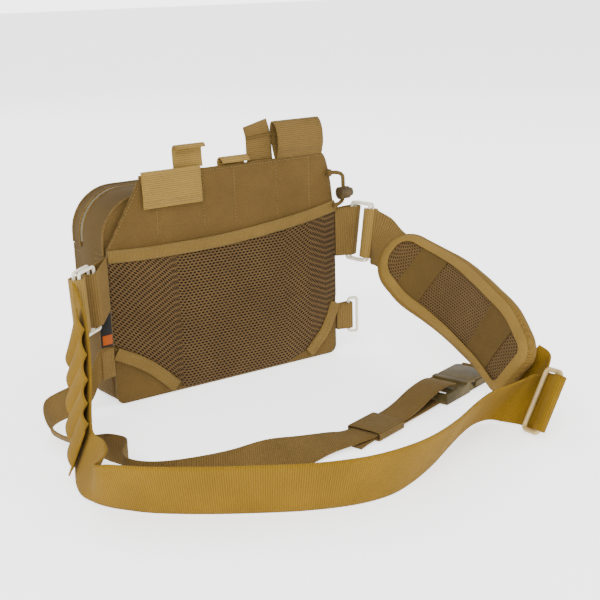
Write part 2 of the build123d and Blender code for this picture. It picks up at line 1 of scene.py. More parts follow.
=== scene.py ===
"""Looks of a binocular harness pack: cloth, webbing, mesh, padding, wire and plastic."""

import math
from functools import partial

import bpy
from mathutils import Matrix, Vector, noise


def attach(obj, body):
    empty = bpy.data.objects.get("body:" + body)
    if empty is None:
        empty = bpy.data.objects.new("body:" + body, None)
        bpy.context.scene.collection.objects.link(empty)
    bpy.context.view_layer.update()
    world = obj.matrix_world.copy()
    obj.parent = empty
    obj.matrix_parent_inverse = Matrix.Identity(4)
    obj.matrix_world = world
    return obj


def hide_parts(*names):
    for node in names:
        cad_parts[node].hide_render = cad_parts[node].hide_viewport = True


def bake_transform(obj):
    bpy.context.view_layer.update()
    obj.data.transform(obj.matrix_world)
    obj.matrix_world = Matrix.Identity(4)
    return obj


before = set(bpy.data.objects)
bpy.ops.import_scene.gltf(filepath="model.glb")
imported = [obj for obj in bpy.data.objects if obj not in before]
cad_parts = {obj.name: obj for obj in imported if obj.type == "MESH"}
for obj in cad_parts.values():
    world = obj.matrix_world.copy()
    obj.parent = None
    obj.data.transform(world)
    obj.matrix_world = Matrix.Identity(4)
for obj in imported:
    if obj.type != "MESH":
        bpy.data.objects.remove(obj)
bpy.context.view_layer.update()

# ---- camera ----
# A long lens from the front left, a little above the pack, tipped slightly to one side.
LENS = 67.14
YAW, PITCH, TIP = math.radians(33.62), math.radians(16.07), math.radians(-1.61)
sight = Vector((math.sin(YAW) * math.cos(PITCH), math.cos(YAW) * math.cos(PITCH), -math.sin(PITCH)))
level = Vector((math.cos(YAW), -math.sin(YAW), 0))
rise = level.cross(sight)
to_right = level * math.cos(TIP) + rise * math.sin(TIP)
to_top = rise * math.cos(TIP) - level * math.sin(TIP)
bpy.ops.object.camera_add()
camera = bpy.context.object
camera.name = "studio_camera"
turned = Matrix((to_right, to_top, -sight)).transposed().to_4x4()
camera.matrix_world = Matrix.Translation((-0.52145, -0.94304, 0.37778)) @ turned
camera.data.lens = LENS
camera.data.sensor_width = 36
bpy.context.scene.camera = camera

# ---- drawcord ----
# A limp braided cord, 4 mm thick, that comes out of one sewn eye at the top corner, runs
# down through a cord lock and goes back into a second eye. It cinches the slot behind it.
CORD_Y = -0.0417
CORD_ROUTE = [(0.1196, 0.1905), (0.1334, 0.1900), (0.1338, 0.1770), (0.1340, 0.1580), (0.1246, 0.1574)]


def paint(red, green, blue):
    """A colour given in screen values, 0 to 255, as the shaders take it."""
    linear = []
    for value in (red, green, blue):
        share = value / 255
        linear.append(share / 12.92 if share <= 0.04045 else ((share + 0.055) / 1.055) ** 2.4)
    return (*linear, 1.0)


def add_node(tree, kind, sockets=(), **settings):
    """A shader node with its settings, and each named socket set to a value or joined to another."""
    made = tree.nodes.new("ShaderNode" + kind)
    for key, value in settings.items():
        setattr(made, key, value)
    for socket, source in sockets:
        if isinstance(source, bpy.types.NodeSocket):
            tree.links.new(source, made.inputs[socket])
        else:
            made.inputs[socket].default_value = source
    return made


def sum_node(tree, operation, first, second=0.0, third=0.0):
    """One step of arithmetic on a value that varies over the surface."""
    made = add_node(tree, "Math", [(0, first), (1, second), (2, third)], operation=operation)
    return made.outputs[0]


def new_group(name, inputs, outputs):
    """An empty shader group: its inputs are a place, given as None, or plain values."""
    tree = bpy.data.node_groups.new(name, "ShaderNodeTree")
    for label, value in inputs.items():
        kind = "NodeSocketVector" if value is None else "NodeSocketFloat"
        socket = tree.interface.new_socket(name=label, in_out="INPUT", socket_type=kind)
        if value is not None:
            socket.default_value = value
    for label in outputs:
        tree.interface.new_socket(name=label, in_out="OUTPUT", socket_type="NodeSocketFloat")
    return tree, tree.nodes.new("NodeGroupInput").outputs, tree.nodes.new("NodeGroupOutput").inputs


def new_material(name):
    """A material with its node tree ready."""
    made = bpy.data.materials.new(name)
    made.use_nodes = True
    return made


def tune(made, **values):
    """Sets plain values of a material's Principled shader, with _ for each space in a name."""
    for label, value in values.items():
        made.node_tree.nodes["Principled BSDF"].inputs[label.replace("_", " ")].default_value = value


# Slow blotches and fine lint, as on cloth that has been handled: used by every fabric here.
handling, inward, outward = new_group(
    "handled cloth",
    {"Place": None, "Blotch": 22.0, "Lint": 900.0},
    ["Worn", "Speck"],
)
for k, detail, rough, top in ((0, 5.0, 0.6, 0.72), (1, 3.0, 0.7, 0.7)):
    settings = [("Vector", inward[0]), ("Scale", inward[k + 1]), ("Detail", detail), ("Roughness", rough)]
    cloud = add_node(handling, "TexNoise", settings)
    limits = [("Value", cloud.outputs[0]), ("From Min", 0.3), ("From Max", top)]
    spread = add_node(handling, "MapRange", limits)
    handling.links.new(spread.outputs[0], outward[k])


def cloth_shader(made, dark, light, mask, relief, place, depth=0.0006, rough=0.9, sheen=0.02):
    """Principled cloth: mask goes from dark to light, relief is its bump, blotches are added."""
    tree = made.node_tree
    shader = tree.nodes["Principled BSDF"]
    step = partial(sum_node, tree)
    worn, speck = add_node(tree, "Group", [(0, place)], node_tree=handling).outputs
    weave = add_node(tree, "Mix", [(0, mask), (6, dark), (7, light)], data_type="RGBA")
    value = step("MULTIPLY_ADD", speck, 0.12, step("MULTIPLY_ADD", worn, 0.10, 0.31))
    tinting = [("Color", weave.outputs[2]), ("Value", value), ("Saturation", 1.04)]
    tree.links.new(add_node(tree, "HueSaturation", tinting).outputs[0], shader.inputs["Base Color"])
    tree.links.new(step("MULTIPLY_ADD", speck, 0.10, rough - 0.06), shader.inputs["Roughness"])
    height = step("MULTIPLY_ADD", speck, 0.25, relief)
    bump = add_node(tree, "Bump", [("Height", height), ("Distance", depth), ("Strength", 0.8)])
    tree.links.new(bump.outputs[0], shader.inputs["Normal"])
    tune(made, Sheen_Weight=sheen, Sheen_Roughness=0.5, Specular_IOR_Level=0.08)
    return made


# Threads crossing over and under each other, at a pitch that each cloth gives.
crossing, inward, outward = new_group(
    "crossed threads",
    {"Place": None, "Pitch": 0.0009},
    ["Height"],
)
step = partial(sum_node, crossing)
parts = add_node(crossing, "SeparateXYZ", [(0, inward[0])])
turns = step("DIVIDE", math.pi, inward[1])
warp = step("SINE", step("MULTIPLY", step("ADD", parts.outputs[0], parts.outputs[1]), turns))
weft = step("SINE", step("MULTIPLY", parts.outputs[2], turns))
crossing.links.new(step("MULTIPLY_ADD", step("MULTIPLY", warp, weft), 0.5, 0.5), outward[0])


def canvas(name, dark, light, pitch=0.0009, mapped=False, **finish):
    """Plain woven cloth that reads the object's own place, or its woven map if it has one."""
    made = new_material(name)
    tree = made.node_tree
    place = spot = add_node(tree, "TexCoord").outputs["Object"]
    if mapped:
        flat = add_node(tree, "SeparateXYZ", [(0, add_node(tree, "UVMap", uv_map="Weave").outputs[0])])
        spot = add_node(tree, "CombineXYZ", [(0, flat.outputs[0]), (2, flat.outputs[1])]).outputs[0]
    threads = add_node(tree, "Group", [(0, spot), (1, pitch)], node_tree=crossing).outputs[0]
    return cloth_shader(made, dark, light, threads, threads, place, **finish)


def pick_only(*things):
    """Selects these objects and nothing else; the last is the active one."""
    bpy.ops.object.select_all(action="DESELECT")
    for thing in things:
        thing.select_set(True)
        bpy.context.view_layer.objects.active = thing


def put_on(piece, body, finish, material, *nodes):
    """Gives a finished piece its material, its body and the CAD nodes that it stands for."""
    if material is not None:
        piece.data.materials.clear()
        piece.data.materials.append(material)
    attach(piece, body)
    if nodes:
        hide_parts(*nodes)
    return piece


cord_cloth = canvas("braided cord", paint(92, 72, 38), paint(150, 120, 70), pitch=0.0011, depth=0.0008)
pick_only()
cord_line = bpy.data.curves.new("drawcord_braid", "CURVE")
cord_line.dimensions = "3D"
spline = cord_line.splines.new("NURBS")
spline.points.add(len(CORD_ROUTE) - 1)
for point, (x, z) in zip(spline.points, CORD_ROUTE):
    point.co = (x, CORD_Y, z, 1)
spline.order_u = 3
spline.use_endpoint_u = True
cord_line.bevel_depth = 0.002
cord_line.bevel_resolution = 5
cord_line.use_fill_caps = True
drawcord = bpy.data.objects.new("drawcord_braid", cord_line)
bpy.context.scene.collection.objects.link(drawcord)
put_on(drawcord, "pack", "cord", cord_cloth, "drawcord")

# ---- cord lock and the sewn eyes ----
# A spring barrel lock in matt plastic, pressed from the side, and two short folds of tape
# sewn to the corner, which hold the ends of the cord.


def moulded(name, dark, light, rough=0.5, grain=1400.0, depth=0.00012, **finish):
    """Textured plastic with a faint bloom and dust in the grain."""
    made = new_material(name)
    tree = made.node_tree
    shader = tree.nodes["Principled BSDF"]
    place = add_node(tree, "TexCoord").outputs["Object"]
    bloom, dust = add_node(tree, "Group", [(0, place), (1, 60.0), (2, grain)], node_tree=handling).outputs
    colour = add_node(tree, "Mix", [(0, bloom), (6, dark), (7, light)], data_type="RGBA")
    tree.links.new(colour.outputs[2], shader.inputs["Base Color"])
    tree.links.new(sum_node(tree, "MULTIPLY_ADD", dust, 0.18, rough - 0.09), shader.inputs["Roughness"])
    bump = add_node(tree, "Bump", [("Height", dust), ("Distance", depth), ("Strength", 0.6)])
    tree.links.new(bump.outputs[0], shader.inputs["Normal"])
    tune(made, **finish)
    return made


def round_off(node, name, width, segments=2):
    """A copy of a CAD node's shape, merged, with its edges rounded over."""
    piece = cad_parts[node].copy()
    piece.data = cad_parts[node].data.copy()
    piece.name = name
    for key in list(piece.keys()):
        del piece[key]
    piece.parent = None
    bpy.context.scene.collection.objects.link(piece)
    pick_only(piece)
    bpy.ops.object.mode_set(mode="EDIT")
    bpy.ops.mesh.select_all(action="SELECT")
    bpy.ops.mesh.remove_doubles(threshold=0.000005)
    bpy.ops.mesh.dissolve_limited(angle_limit=math.radians(3))
    bpy.ops.object.mode_set(mode="OBJECT")
    edge = piece.modifiers.new("rounded", "BEVEL")
    edge.width = width
    edge.segments = segments
    edge.limit_method = "ANGLE"
    edge.angle_limit = math.radians(35)
    bpy.ops.object.modifier_apply(modifier=edge.name)
    bpy.ops.object.shade_smooth_by_angle(angle=math.radians(40))
    return piece


lock_plastic = moulded("cord lock plastic", paint(54, 43, 25), paint(82, 67, 41), Specular_IOR_Level=0.12)
lock = round_off("cord_lock_body", "lock_barrel", 0.0007)
button = round_off("cord_lock_button", "lock_plunger", 0.0006)
for piece, node in ((lock, "cord_lock_body"), (button, "cord_lock_button")):
    put_on(piece, node, "lock_plastic", lock_plastic, node)
eyes = round_off("drawcord_eyes", "cord_eye_folds", 0.0012, 3)
eye_cloth = canvas("eye tape", paint(96, 76, 42), paint(140, 112, 64), pitch=0.0012)
put_on(eyes, "pack", "webbing", eye_cloth, "drawcord_eyes")

# ---- gussets ----
# The sides of the pack: one band of coated cloth round the base and one round the top,
# sewn together half way up each side. The cloth is slack and swells a little.
HALF_W, TOP_Z, TOP_R, BASE_R, HINGE_Z = 0.125, 0.193, 0.040, 0.010, 0.142
GUSSET_BACK, ZIP_REAR, ZIP_Y, ZIP_FRONT, GUSSET_FRONT = -0.030, 0.0128, 0.015, 0.0172, 0.0352
CLOTH, SEAM_GAP = 0.002, 0.0004
WEAVE = {"pitch": 0.0010, "depth": 0.0005, "mapped": True}


def smooth_at(points, place):
    """A point on the smooth curve through a list of points, place counted in points."""
    k = min(int(place), len(points) - 2)
    t = place - k
    before, a = points[max(k - 1, 0)], points[k]
    b, after = points[k + 1], points[min(k + 2, len(points) - 1)]
    bend = (2 * before - 5 * a + 4 * b - after) * t * t + (3 * a - before - 3 * b + after) * t * t * t
    return a + ((b - before) * t + bend) * 0.5


def lay_band(name, stations, thick, cells=8, per_span=6, low=0.0, high=0.0, lift=0.0, swell=None):
    """A closed cloth band through pairs of edge points, with rounded edges and a woven map.

    low and high pull its two edges in, lift moves it off the surface and swell(point, run,
    share) gives how far each spot stands proud. The map is metres along and across.
    """
    lower = [Vector(pair[0]) for pair in stations]
    upper = [Vector(pair[1]) for pair in stations]
    steps = (len(stations) - 1) * per_span
    ring = [(k / cells, 0.5) for k in range(cells + 1)] + [(1.0, 0.0)]
    ring += [(1 - k / cells, -0.5) for k in range(cells + 1)] + [(0.0, 0.0)]
    around = len(ring)
    bpy.ops.object.select_all(action="DESELECT")
    bpy.ops.mesh.primitive_grid_add(x_subdivisions=steps, y_subdivisions=around, size=1)
    band = bpy.context.object
    band.name = name
    edges = [(smooth_at(lower, i / per_span), smooth_at(upper, i / per_span)) for i in range(steps + 1)]
    middles = [(a + b) * 0.5 for a, b in edges]
    runs = [0.0]
    for near, far in zip(middles, middles[1:]):
        runs.append(runs[-1] + (far - near).length)
    places = []
    for vertex in band.data.vertices:
        i = round((vertex.co.x + 0.5) * steps)
        j = round((vertex.co.y + 0.5) * around) % around
        a, b = edges[i]
        across = (b - a).normalized()
        width = (b - a).length
        ahead = middles[min(i + 1, steps)] - middles[max(i - 1, 0)]
        out = ahead.cross(across).normalized()
        share, side = ring[j]
        start, finish = a + across * low, b - across * high
        spot = start + (finish - start) * share
        if side and share in (0.0, 1.0):
            spot += across * (thick * 0.3 * (1 if share == 0.0 else -1))
        proud = swell(spot, runs[i], share) if swell else 0.0
        vertex.co = spot + out * (side * thick + lift + proud)
        places.append((runs[i], low + (width - low - high) * share))
    weave = band.data.uv_layers[0]
    weave.name = "Weave"
    for loop in band.data.loops:
        weave.data[loop.index].uv = places[loop.vertex_index]
    bpy.ops.object.mode_set(mode="EDIT")
    bpy.ops.mesh.select_all(action="SELECT")
    bpy.ops.mesh.remove_doubles(threshold=0.000002)
    bpy.ops.mesh.select_all(action="DESELECT")
    bpy.ops.mesh.select_non_manifold()
    bpy.ops.mesh.fill_holes(sides=0)
    bpy.ops.mesh.select_all(action="SELECT")
    bpy.ops.mesh.normals_make_consistent(inside=False)
    bpy.ops.object.mode_set(mode="OBJECT")
    bpy.ops.object.shade_smooth_by_angle(angle=math.radians(60))
    return band


def arc(centre, radius, start, finish, steps):
    """Points round part of a circle, in degrees."""
    spots = []
    for k in range(steps + 1):
        angle = math.radians(start + (finish - start) * k / steps)
        spots.append((centre[0] + radius * math.cos(angle), centre[1] + radius * math.sin(angle)))
    return spots


def top_path(inset):
    """From the left seam over the top to the right seam, in X and Z."""
    big = TOP_R - inset
    path = [(-HALF_W + inset, HINGE_Z), (-HALF_W + inset, HINGE_Z + 0.006)]
    path += arc((-HALF_W + TOP_R, TOP_Z - TOP_R), big, 180, 90, 12)
    path += [(-0.085 + 0.17 * k / 22, TOP_Z - inset) for k in range(1, 22)]
    path += arc((HALF_W - TOP_R, TOP_Z - TOP_R), big, 90, 0, 12)
    return path + [(HALF_W - inset, HINGE_Z + 0.006), (HALF_W - inset, HINGE_Z)]


def base_path(inset):
    """From the right seam down round the base to the left seam, in X and Z."""
    small = BASE_R - inset
    path = [(HALF_W - inset, HINGE_Z - 0.011 * k) for k in range(12)]
    path += arc((HALF_W - BASE_R, BASE_R), small, 0, -90, 5)
    path += [(0.115 - 0.23 * k / 24, inset) for k in range(1, 24)]
    path += arc((-HALF_W + BASE_R, BASE_R), small, 270, 180, 5)
    return path + [(-HALF_W + inset, 0.021 + 0.011 * k) for k in range(12)]


def slack_side(spot, run, share):
    """How the side cloth stands proud: fullest mid way, with soft creases, flat underneath."""
    middle = math.sin(math.pi * min(max((spot.y + 0.030) / 0.067, 0), 1))
    crease = noise.noise(Vector((spot.x * 14, spot.y * 30, spot.z * 18))) * 0.0011
    return 0.0 if spot.z < 0.004 else (0.0016 + crease) * middle


def between_depths(path, rear, front):
    """Band stations along a path in X and Z, from one depth to another."""
    return [((x, rear, z), (x, front, z)) for x, z in path]


def cloth_wall(name, rows, cells, body, cloth, node, **shape):
    """A band of the pack's own cloth, 2 mm thick, laid and put on its body."""
    put_on(lay_band(name, rows, CLOTH, cells, 1, **shape), body, "pack_fabric", cloth, node)


# The sides get a darker copy of the walls' cloth: painted shade on the gussets and on the slot edge.
side_cloth_painted_shade = canvas("side cloth with painted shade", paint(82, 62, 30), paint(124, 98, 50), **WEAVE)
front_rim = [(x, max(z, HINGE_Z + SEAM_GAP)) for x, z in top_path(0.001)]
for name, path, rear, front, cells, body, node in (
    ("gusset_base", base_path(0.001), GUSSET_BACK, GUSSET_FRONT, 18, "pack", "lower_gusset"),
    ("gusset_crown", top_path(0.001), GUSSET_BACK, ZIP_REAR, 14, "pack", "upper_gusset_rear"),
    ("gusset_brow", front_rim, ZIP_FRONT, GUSSET_FRONT, 8, "front_flap", "upper_gusset_front"),
):
    cloth_wall(name, between_depths(path, rear, front), cells, body, side_cloth_painted_shade, node, swell=slack_side)

# ---- front and rear walls ----
# Flat panels of the same cloth. The front one is cut at the seam so that its upper part
# folds down; both bow out a little where the load presses on them.


def outline_top(x):
    """Height of the pack's outline over a place on its width."""
    past = abs(x) - (HALF_W - TOP_R)
    return TOP_Z if past <= 0 else TOP_Z - TOP_R + math.sqrt(max(TOP_R**2 - past**2, 0))


def outline_base(x):
    """Height of the pack's outline under a place on its width."""
    past = abs(x) - (HALF_W - BASE_R)
    return 0.0 if past <= 0 else BASE_R - math.sqrt(max(BASE_R**2 - past**2, 0))


def bowed(spot, run, share):
    """Belly of a wall, with a few soft dents."""
    belly = math.cos(spot.x / HALF_W * math.pi / 2) * math.sin(math.pi * min(max(spot.z / TOP_Z, 0), 1))
    return 0.0022 * belly + noise.noise(spot * 16) * 0.0007 * belly


WIDTHS = [HALF_W * math.sin(math.pi / 2 * k / 30) for k in range(-30, 31)]
FRONT_Y, REAR_Y, PANEL_Y = 0.036, -0.029, -0.036
front_low = [((-x, FRONT_Y, outline_base(x)), (-x, FRONT_Y, HINGE_Z)) for x in WIDTHS]
front_high = [((-x, FRONT_Y, HINGE_Z + SEAM_GAP), (-x, FRONT_Y, outline_top(x))) for x in WIDTHS]
rear_wall = [((x, REAR_Y, outline_base(x)), (x, REAR_Y, outline_top(x))) for x in WIDTHS]
wall_cloth = canvas("wall cloth", paint(104, 82, 46), paint(152, 122, 72), **WEAVE)
cloth_wall("front_wall", front_low, 24, "pack", wall_cloth, "front_panel_lower", swell=bowed)
cloth_wall("front_lid", front_high, 12, "front_flap", wall_cloth, "front_panel_upper", low=0.0010, swell=bowed)
cloth_wall("rear_wall", rear_wall, 30, "pack", wall_cloth, "rear_panel")

# ---- zip ----
# A coil zip that runs over the top from seam to seam: a tape and a row of teeth on each
# side, a corded piping outside each tape, and two metal sliders with cord-slim pulls.


def rows_of(name, shape, spots):
    """One mesh made of copies of a small shape, each set down with its own matrix."""
    corners, faces = [], []
    for matrix in spots:
        first = len(corners)
        corners += [matrix @ vertex.co for vertex in shape.data.vertices]
        faces += [[first + k for k in face.vertices] for face in shape.data.polygons]
    mesh = bpy.data.meshes.new(name)
    mesh.from_pydata(corners, [], faces)
    rows = bpy.data.objects.new(name, mesh)
    bpy.context.scene.collection.objects.link(rows)
    pick_only(rows)
    bpy.ops.object.shade_smooth()
    return rows


def frame_at(spot, ahead, out):
    """A matrix that lays a small shape's length along ahead and its height along out."""
    ahead = Vector(ahead).normalized()
    aside = Vector(out).cross(ahead).normalized()
    rows = Matrix((ahead, aside, ahead.cross(aside))).transposed().to_4x4()
    return Matrix.Translation(spot) @ rows


def even_steps(points, pitch):
    """Places at an even pitch along a line of points, each with its direction."""
    steps, left = [], 0.0
    for a, b in zip(points, points[1:]):
        a, b = Vector(a), Vector(b)
        length = (b - a).length
        while left < length:
            steps.append((a + (b - a) * (left / length), b - a))
            left += pitch
        left -= length
    return steps


def lay_tube(name, points, radius, closed=False, sides=3):
    """A round tube along points, made a mesh."""
    line = bpy.data.curves.new(name, "CURVE")
    line.dimensions = "3D"
    track = line.splines.new("POLY")
    track.points.add(len(points) - 1)
    for point, spot in zip(track.points, points):
        point.co = (*spot, 1)
    track.use_cyclic_u = closed
    line.bevel_depth = radius
    line.bevel_resolution = sides
    line.use_fill_caps = True
    tube = bpy.data.objects.new(name, line)
    bpy.context.scene.collection.objects.link(tube)
    pick_only(tube)
    bpy.ops.object.convert(target="MESH")
    tube = bpy.context.object
    bpy.ops.object.shade_smooth_by_angle(angle=math.radians(50))
    return tube


ZIP_SIDES = (
    ("rear", "pack", -1, "zip_coil_rear", 0.0),
    ("front", "front_flap", 1, "zip_coil_front", SEAM_GAP),
)
tape_weave = {"pitch": 0.0007, "depth": 0.0003, "mapped": True}
tape_cloth = canvas("zip tape", paint(78, 74, 54), paint(112, 106, 80), **tape_weave)
coil_plastic = moulded("zip coil", paint(84, 80, 60), paint(118, 112, 86), rough=0.4)
piping_cloth = canvas("piping", paint(104, 82, 46), paint(150, 120, 70), pitch=0.0012)
bpy.ops.object.select_all(action="DESELECT")
bpy.ops.mesh.primitive_cube_add(size=1, scale=(0.0010, 0.0019, 0.0011))
tooth = bpy.context.object
bpy.ops.object.transform_apply(scale=True)
bpy.ops.object.mode_set(mode="EDIT")
bpy.ops.mesh.bevel(offset=0.00025, segments=1)
bpy.ops.object.mode_set(mode="OBJECT")
ZIP_INSET = 0.0006
for side, body, sign, node, gap in ZIP_SIDES:
    path = [(x, max(z, HINGE_Z + gap)) for x, z in top_path(ZIP_INSET)]
    middle = ZIP_Y + sign * 0.0012
    tape_rows = between_depths(path, middle - 0.001, middle + 0.001)
    put_on(lay_band(f"zip_tape_{side}", tape_rows, 0.0012, 3, 1), body, "zip", tape_cloth, node)
    spots = []
    track = [(x, ZIP_Y + sign * 0.00105, z) for x, z in top_path(-ZIP_INSET)]
    for spot, ahead in even_steps(track[1:-1], 0.0016):
        spots.append(frame_at(spot, ahead, ahead.cross(Vector((0, 1, 0)))))
    put_on(rows_of(f"zip_teeth_{side}", tooth, spots), body, "zip", coil_plastic)
    cord_track = [(x, ZIP_Y + sign * 0.0040, max(z, HINGE_Z + gap)) for x, z in top_path(-ZIP_INSET)]
    put_on(lay_tube(f"zip_piping_{side}", cord_track, 0.0014), body, "pack_fabric", piping_cloth)
bpy.data.objects.remove(tooth)

slider_finish = {"rough": 0.35, "grain": 700.0, "Metallic": 0.6}
slider_metal = moulded("slider enamel", paint(58, 54, 44), paint(92, 86, 68), **slider_finish)
for side in ("left", "right"):
    for node, name, width in (("zip_slider", "zip_runner", 0.0004), ("zip_pull", "zip_puller", 0.0005)):
        node = f"{node}_{side}"
        put_on(round_off(node, f"{name}_{side}", width), node, "zip", slider_metal, node)

# Piping where the front wall meets the gusset, in one cord per part, and the same at the rear.
base_track = [(x, 0.0362, z + 0.0006) for x, z in base_path(0.0008)]
put_on(lay_tube("front_piping_base", base_track, 0.0016), "pack", "pack_fabric", piping_cloth)
brow_track = [(x, 0.0362, max(z, HINGE_Z + 0.0018)) for x, z in top_path(0.0002)]
put_on(lay_tube("front_piping_brow", brow_track, 0.0016), "front_flap", "pack_fabric", piping_cloth)
rear_track = [(x, -0.0296, z) for x, z in top_path(0.0)]
put_on(lay_tube("rear_piping", rear_track, 0.0013), "pack", "pack_fabric", piping_cloth)

# ---- back panel ----
# The panel worn against the body: coated cloth that stands higher than the pack behind it,
# sewn down in upright channels, with the edge of the slot pocket closed behind it.
CHANNELS = (-0.073, -0.024, 0.010, 0.057, 0.095)
PANEL_TOP = 0.211


def panel_top(x):
    """Height of the back panel's edge over a place on its width."""
    if x < -0.087:
        return 0.148 + (x + 0.125) / 0.038 * (PANEL_TOP - 0.148)
    if x <= 0.112:
        return PANEL_TOP
    return 0.130 + (PANEL_TOP - 0.130) * math.sqrt(max(0.0, 1 - ((x - 0.112) / 0.013) ** 1.6))


def panel_base(x):
    """Height of the back panel's lower edge."""
    past = abs(x) - 0.117
    return 0.0 if past <= 0 else 0.008 - math.sqrt(max(0.008**2 - past**2, 0))


def quilted(spot, run, share):
    """Soft swell between the channels, drawn in at each stitch line and at the edges."""
    nearest = min(abs(spot.x - line) for line in CHANNELS)
    drawn = 1 - math.exp(-((nearest / 0.006) ** 2))
    above = min(max((spot.z - 0.150) / 0.02, 0), 1)
    edge = min(1.0, share * 14, (1 - share) * 14)
    return edge * above * (0.0011 * drawn + noise.noise(spot * 26) * 0.0006)


EDGE_XS = sorted({*WIDTHS, -0.087, 0.112, 0.116, 0.119, 0.1215, 0.1235, 0.1245, *CHANNELS})
panel_cloth = canvas("back panel cloth", paint(100, 78, 42), paint(142, 113, 64), **WEAVE)
panel_rows = [((x, PANEL_Y, panel_base(x)), (x, PANEL_Y, panel_top(x))) for x in EDGE_XS]
cloth_wall("back_panel_cloth", panel_rows, 46, "pack", panel_cloth, "back_panel", swell=quilted)
# The slot edge is in the darker side cloth, which is painted shade.
slot_rows = between_depths(base_path(0.0025), -0.0352, -0.0298)
slot_edge = lay_band("slot_edge_cloth", slot_rows, 0.004, 3, 1)
put_on(slot_edge, "pack", "pack_fabric", side_cloth_painted_shade, "slot_pocket_edge")

# ---- stitching ----
# Bonded thread, one slim grain for each stitch, laid in rows where two layers are sewn.
bpy.ops.object.select_all(action="DESELECT")
bpy.ops.mesh.primitive_uv_sphere_add(segments=6, ring_count=4, radius=0.5, scale=(0.0021, 0.0006, 0.0005))
stitch = bpy.context.object
stitch.name = "stitch_pattern"
bpy.ops.object.transform_apply(scale=True)
thread_finish = {"pitch": 0.0006, "sheen": 0.1, "rough": 0.7}
thread = canvas("bonded thread", paint(150, 124, 72), paint(188, 160, 104), **thread_finish)


def sew(name, body, lines, out, pitch=0.0032):
    """Rows of stitches along lines of points on a surface that faces out."""
    spots = []
    for line in lines:
        for spot, ahead in even_steps(line, pitch):
            spots.append(frame_at(spot + Vector(out).normalized() * 0.0001, ahead, out))
    return put_on(rows_of(name, stitch, spots), body, "webbing", thread)


channel_lines = [[(x, -0.0371, 0.1565 + max(0, x) * 0.03), (x, -0.0371, 0.209)] for x in CHANNELS]
sew("channel_stitches", "pack", channel_lines, (0, -1, 0))
hem = [(-0.122, -0.0379, 0.1515), (-0.0855, -0.0381, 0.2085), (0.1105, -0.0381, 0.2085)]
sew("panel_hem_stitches", "pack", [hem], (0, -1, 0))
side_seams = []
for height in (0.1425, 0.137):
    for x in (-0.1262, 0.1262):
        side_seams.append([(x, -0.027, height), (x, 0.034, height)])
sew("left_seam_stitches", "pack", side_seams[0::2], (-1, 0, 0))
sew("right_seam_stitches", "pack", side_seams[1::2], (1, 0, 0))
sew("front_seam_stitches", "pack", [[(-0.123, 0.0385, 0.1385), (0.123, 0.0385, 0.1385)]], (0, 1, 0))

# ---- mesh pocket ----
# A slack pocket of open netting over the lower back panel, with a folded tape along its top
# and a strip of the same tape across each lower corner.
MESH_TOP = ((-0.125, 0.142), (-0.085, 0.140), (-0.020, 0.140), (0.030, 0.143), (0.085, 0.149), (0.125, 0.156))
MESH_LOW = ((-0.125, 0.058), (-0.096, 0.039), (-0.062, 0.012), (-0.056, 0.002), (0.062, 0.002))
MESH_LOW += ((0.092, 0.012), (0.112, 0.034), (0.125, 0.062))


def height_on(line, x):
    """Height of a line of (x, z) points over a place."""
    for (x0, z0), (x1, z1) in zip(line, line[1:]):
        if x <= x1:
            return z0 + (z1 - z0) * (x - x0) / (x1 - x0)
    return line[-1][1]


def slack_net(spot, run, share):
    """The net hangs a little off the panel, fuller towards its middle, with soft folds."""
    held = max(math.sin(math.pi * share), 0) ** 0.5 * max(math.cos(spot.x / 0.125 * math.pi / 2), 0) ** 0.4
    fold = noise.noise(Vector((spot.x * 22, 3, spot.z * 10))) * 0.0010
    return held * (0.0022 + fold)


netting, inward, outward = new_group(
    "netting",
    {"Place": None, "Width": 0.0042, "Height": 0.0026},
    ["Hole", "Ridge"],
)
step = partial(sum_node, netting)
parts = add_node(netting, "SeparateXYZ", [(0, inward[0])])
column = step("DIVIDE", parts.outputs[0], inward[1])
row = step("DIVIDE", parts.outputs[1], inward[2])
odd = step("MODULO", step("ADD", step("FLOOR", row), 1000.0), 2.0)
column = step("MULTIPLY_ADD", odd, 0.5, column)
squares = []
for place, half in ((column, 0.36), (row, 0.30)):
    in_cell = step("SUBTRACT", step("FRACT", place), 0.5)
    squares.append(step("POWER", step("ABSOLUTE", step("DIVIDE", in_cell, half)), 2.0))
reach = step("ADD", *squares)
hole = add_node(netting, "MapRange", [("Value", reach), ("From Min", 1.15), ("From Max", 0.75)])
netting.links.new(hole.outputs[0], outward[0])
netting.links.new(step("MULTIPLY", step("MINIMUM", reach, 2.0), 0.5), outward[1])


def on_weave(name, group, *sizes):
    """A new material with a woven group in it, fed with the piece's own map and these sizes."""
    made = new_material(name)
    tree = made.node_tree
    flat = add_node(tree, "UVMap", uv_map="Weave").outputs[0]
    place = add_node(tree, "TexCoord").outputs["Object"]
    return made, place, add_node(tree, "Group", [(0, flat), *enumerate(sizes, 1)], node_tree=group).outputs


def open_net(name, dark, light, width, height, depth=0.0009):
    """Knitted net: yarn colour with dark holes, on the piece's own woven map."""
    made, place, (hole, ridge) = on_weave(name, netting, width, height)
    yarn = sum_node(made.node_tree, "SUBTRACT", 1.0, hole)
    return cloth_shader(made, dark, light, yarn, ridge, place, depth=depth, rough=0.92)


# Its holes are painted near black: painted shade for the shadowed inside of the pocket, seen through the net.
net_cloth_shaded_holes = open_net("pocket net", paint(12, 8, 4), paint(120, 94, 60), 0.0042, 0.0027)
NET_Y = -0.0376
net_rows = []
for x in EDGE_XS:
    net_rows.append(((x, NET_Y, height_on(MESH_LOW, x)), (x, NET_Y, height_on(MESH_TOP, x) - 0.004)))
net = lay_band("pocket_net", net_rows, 0.0010, 34, 1, swell=slack_net)
put_on(net, "pack", "pocket_mesh", net_cloth_shaded_holes, "mesh_pocket")

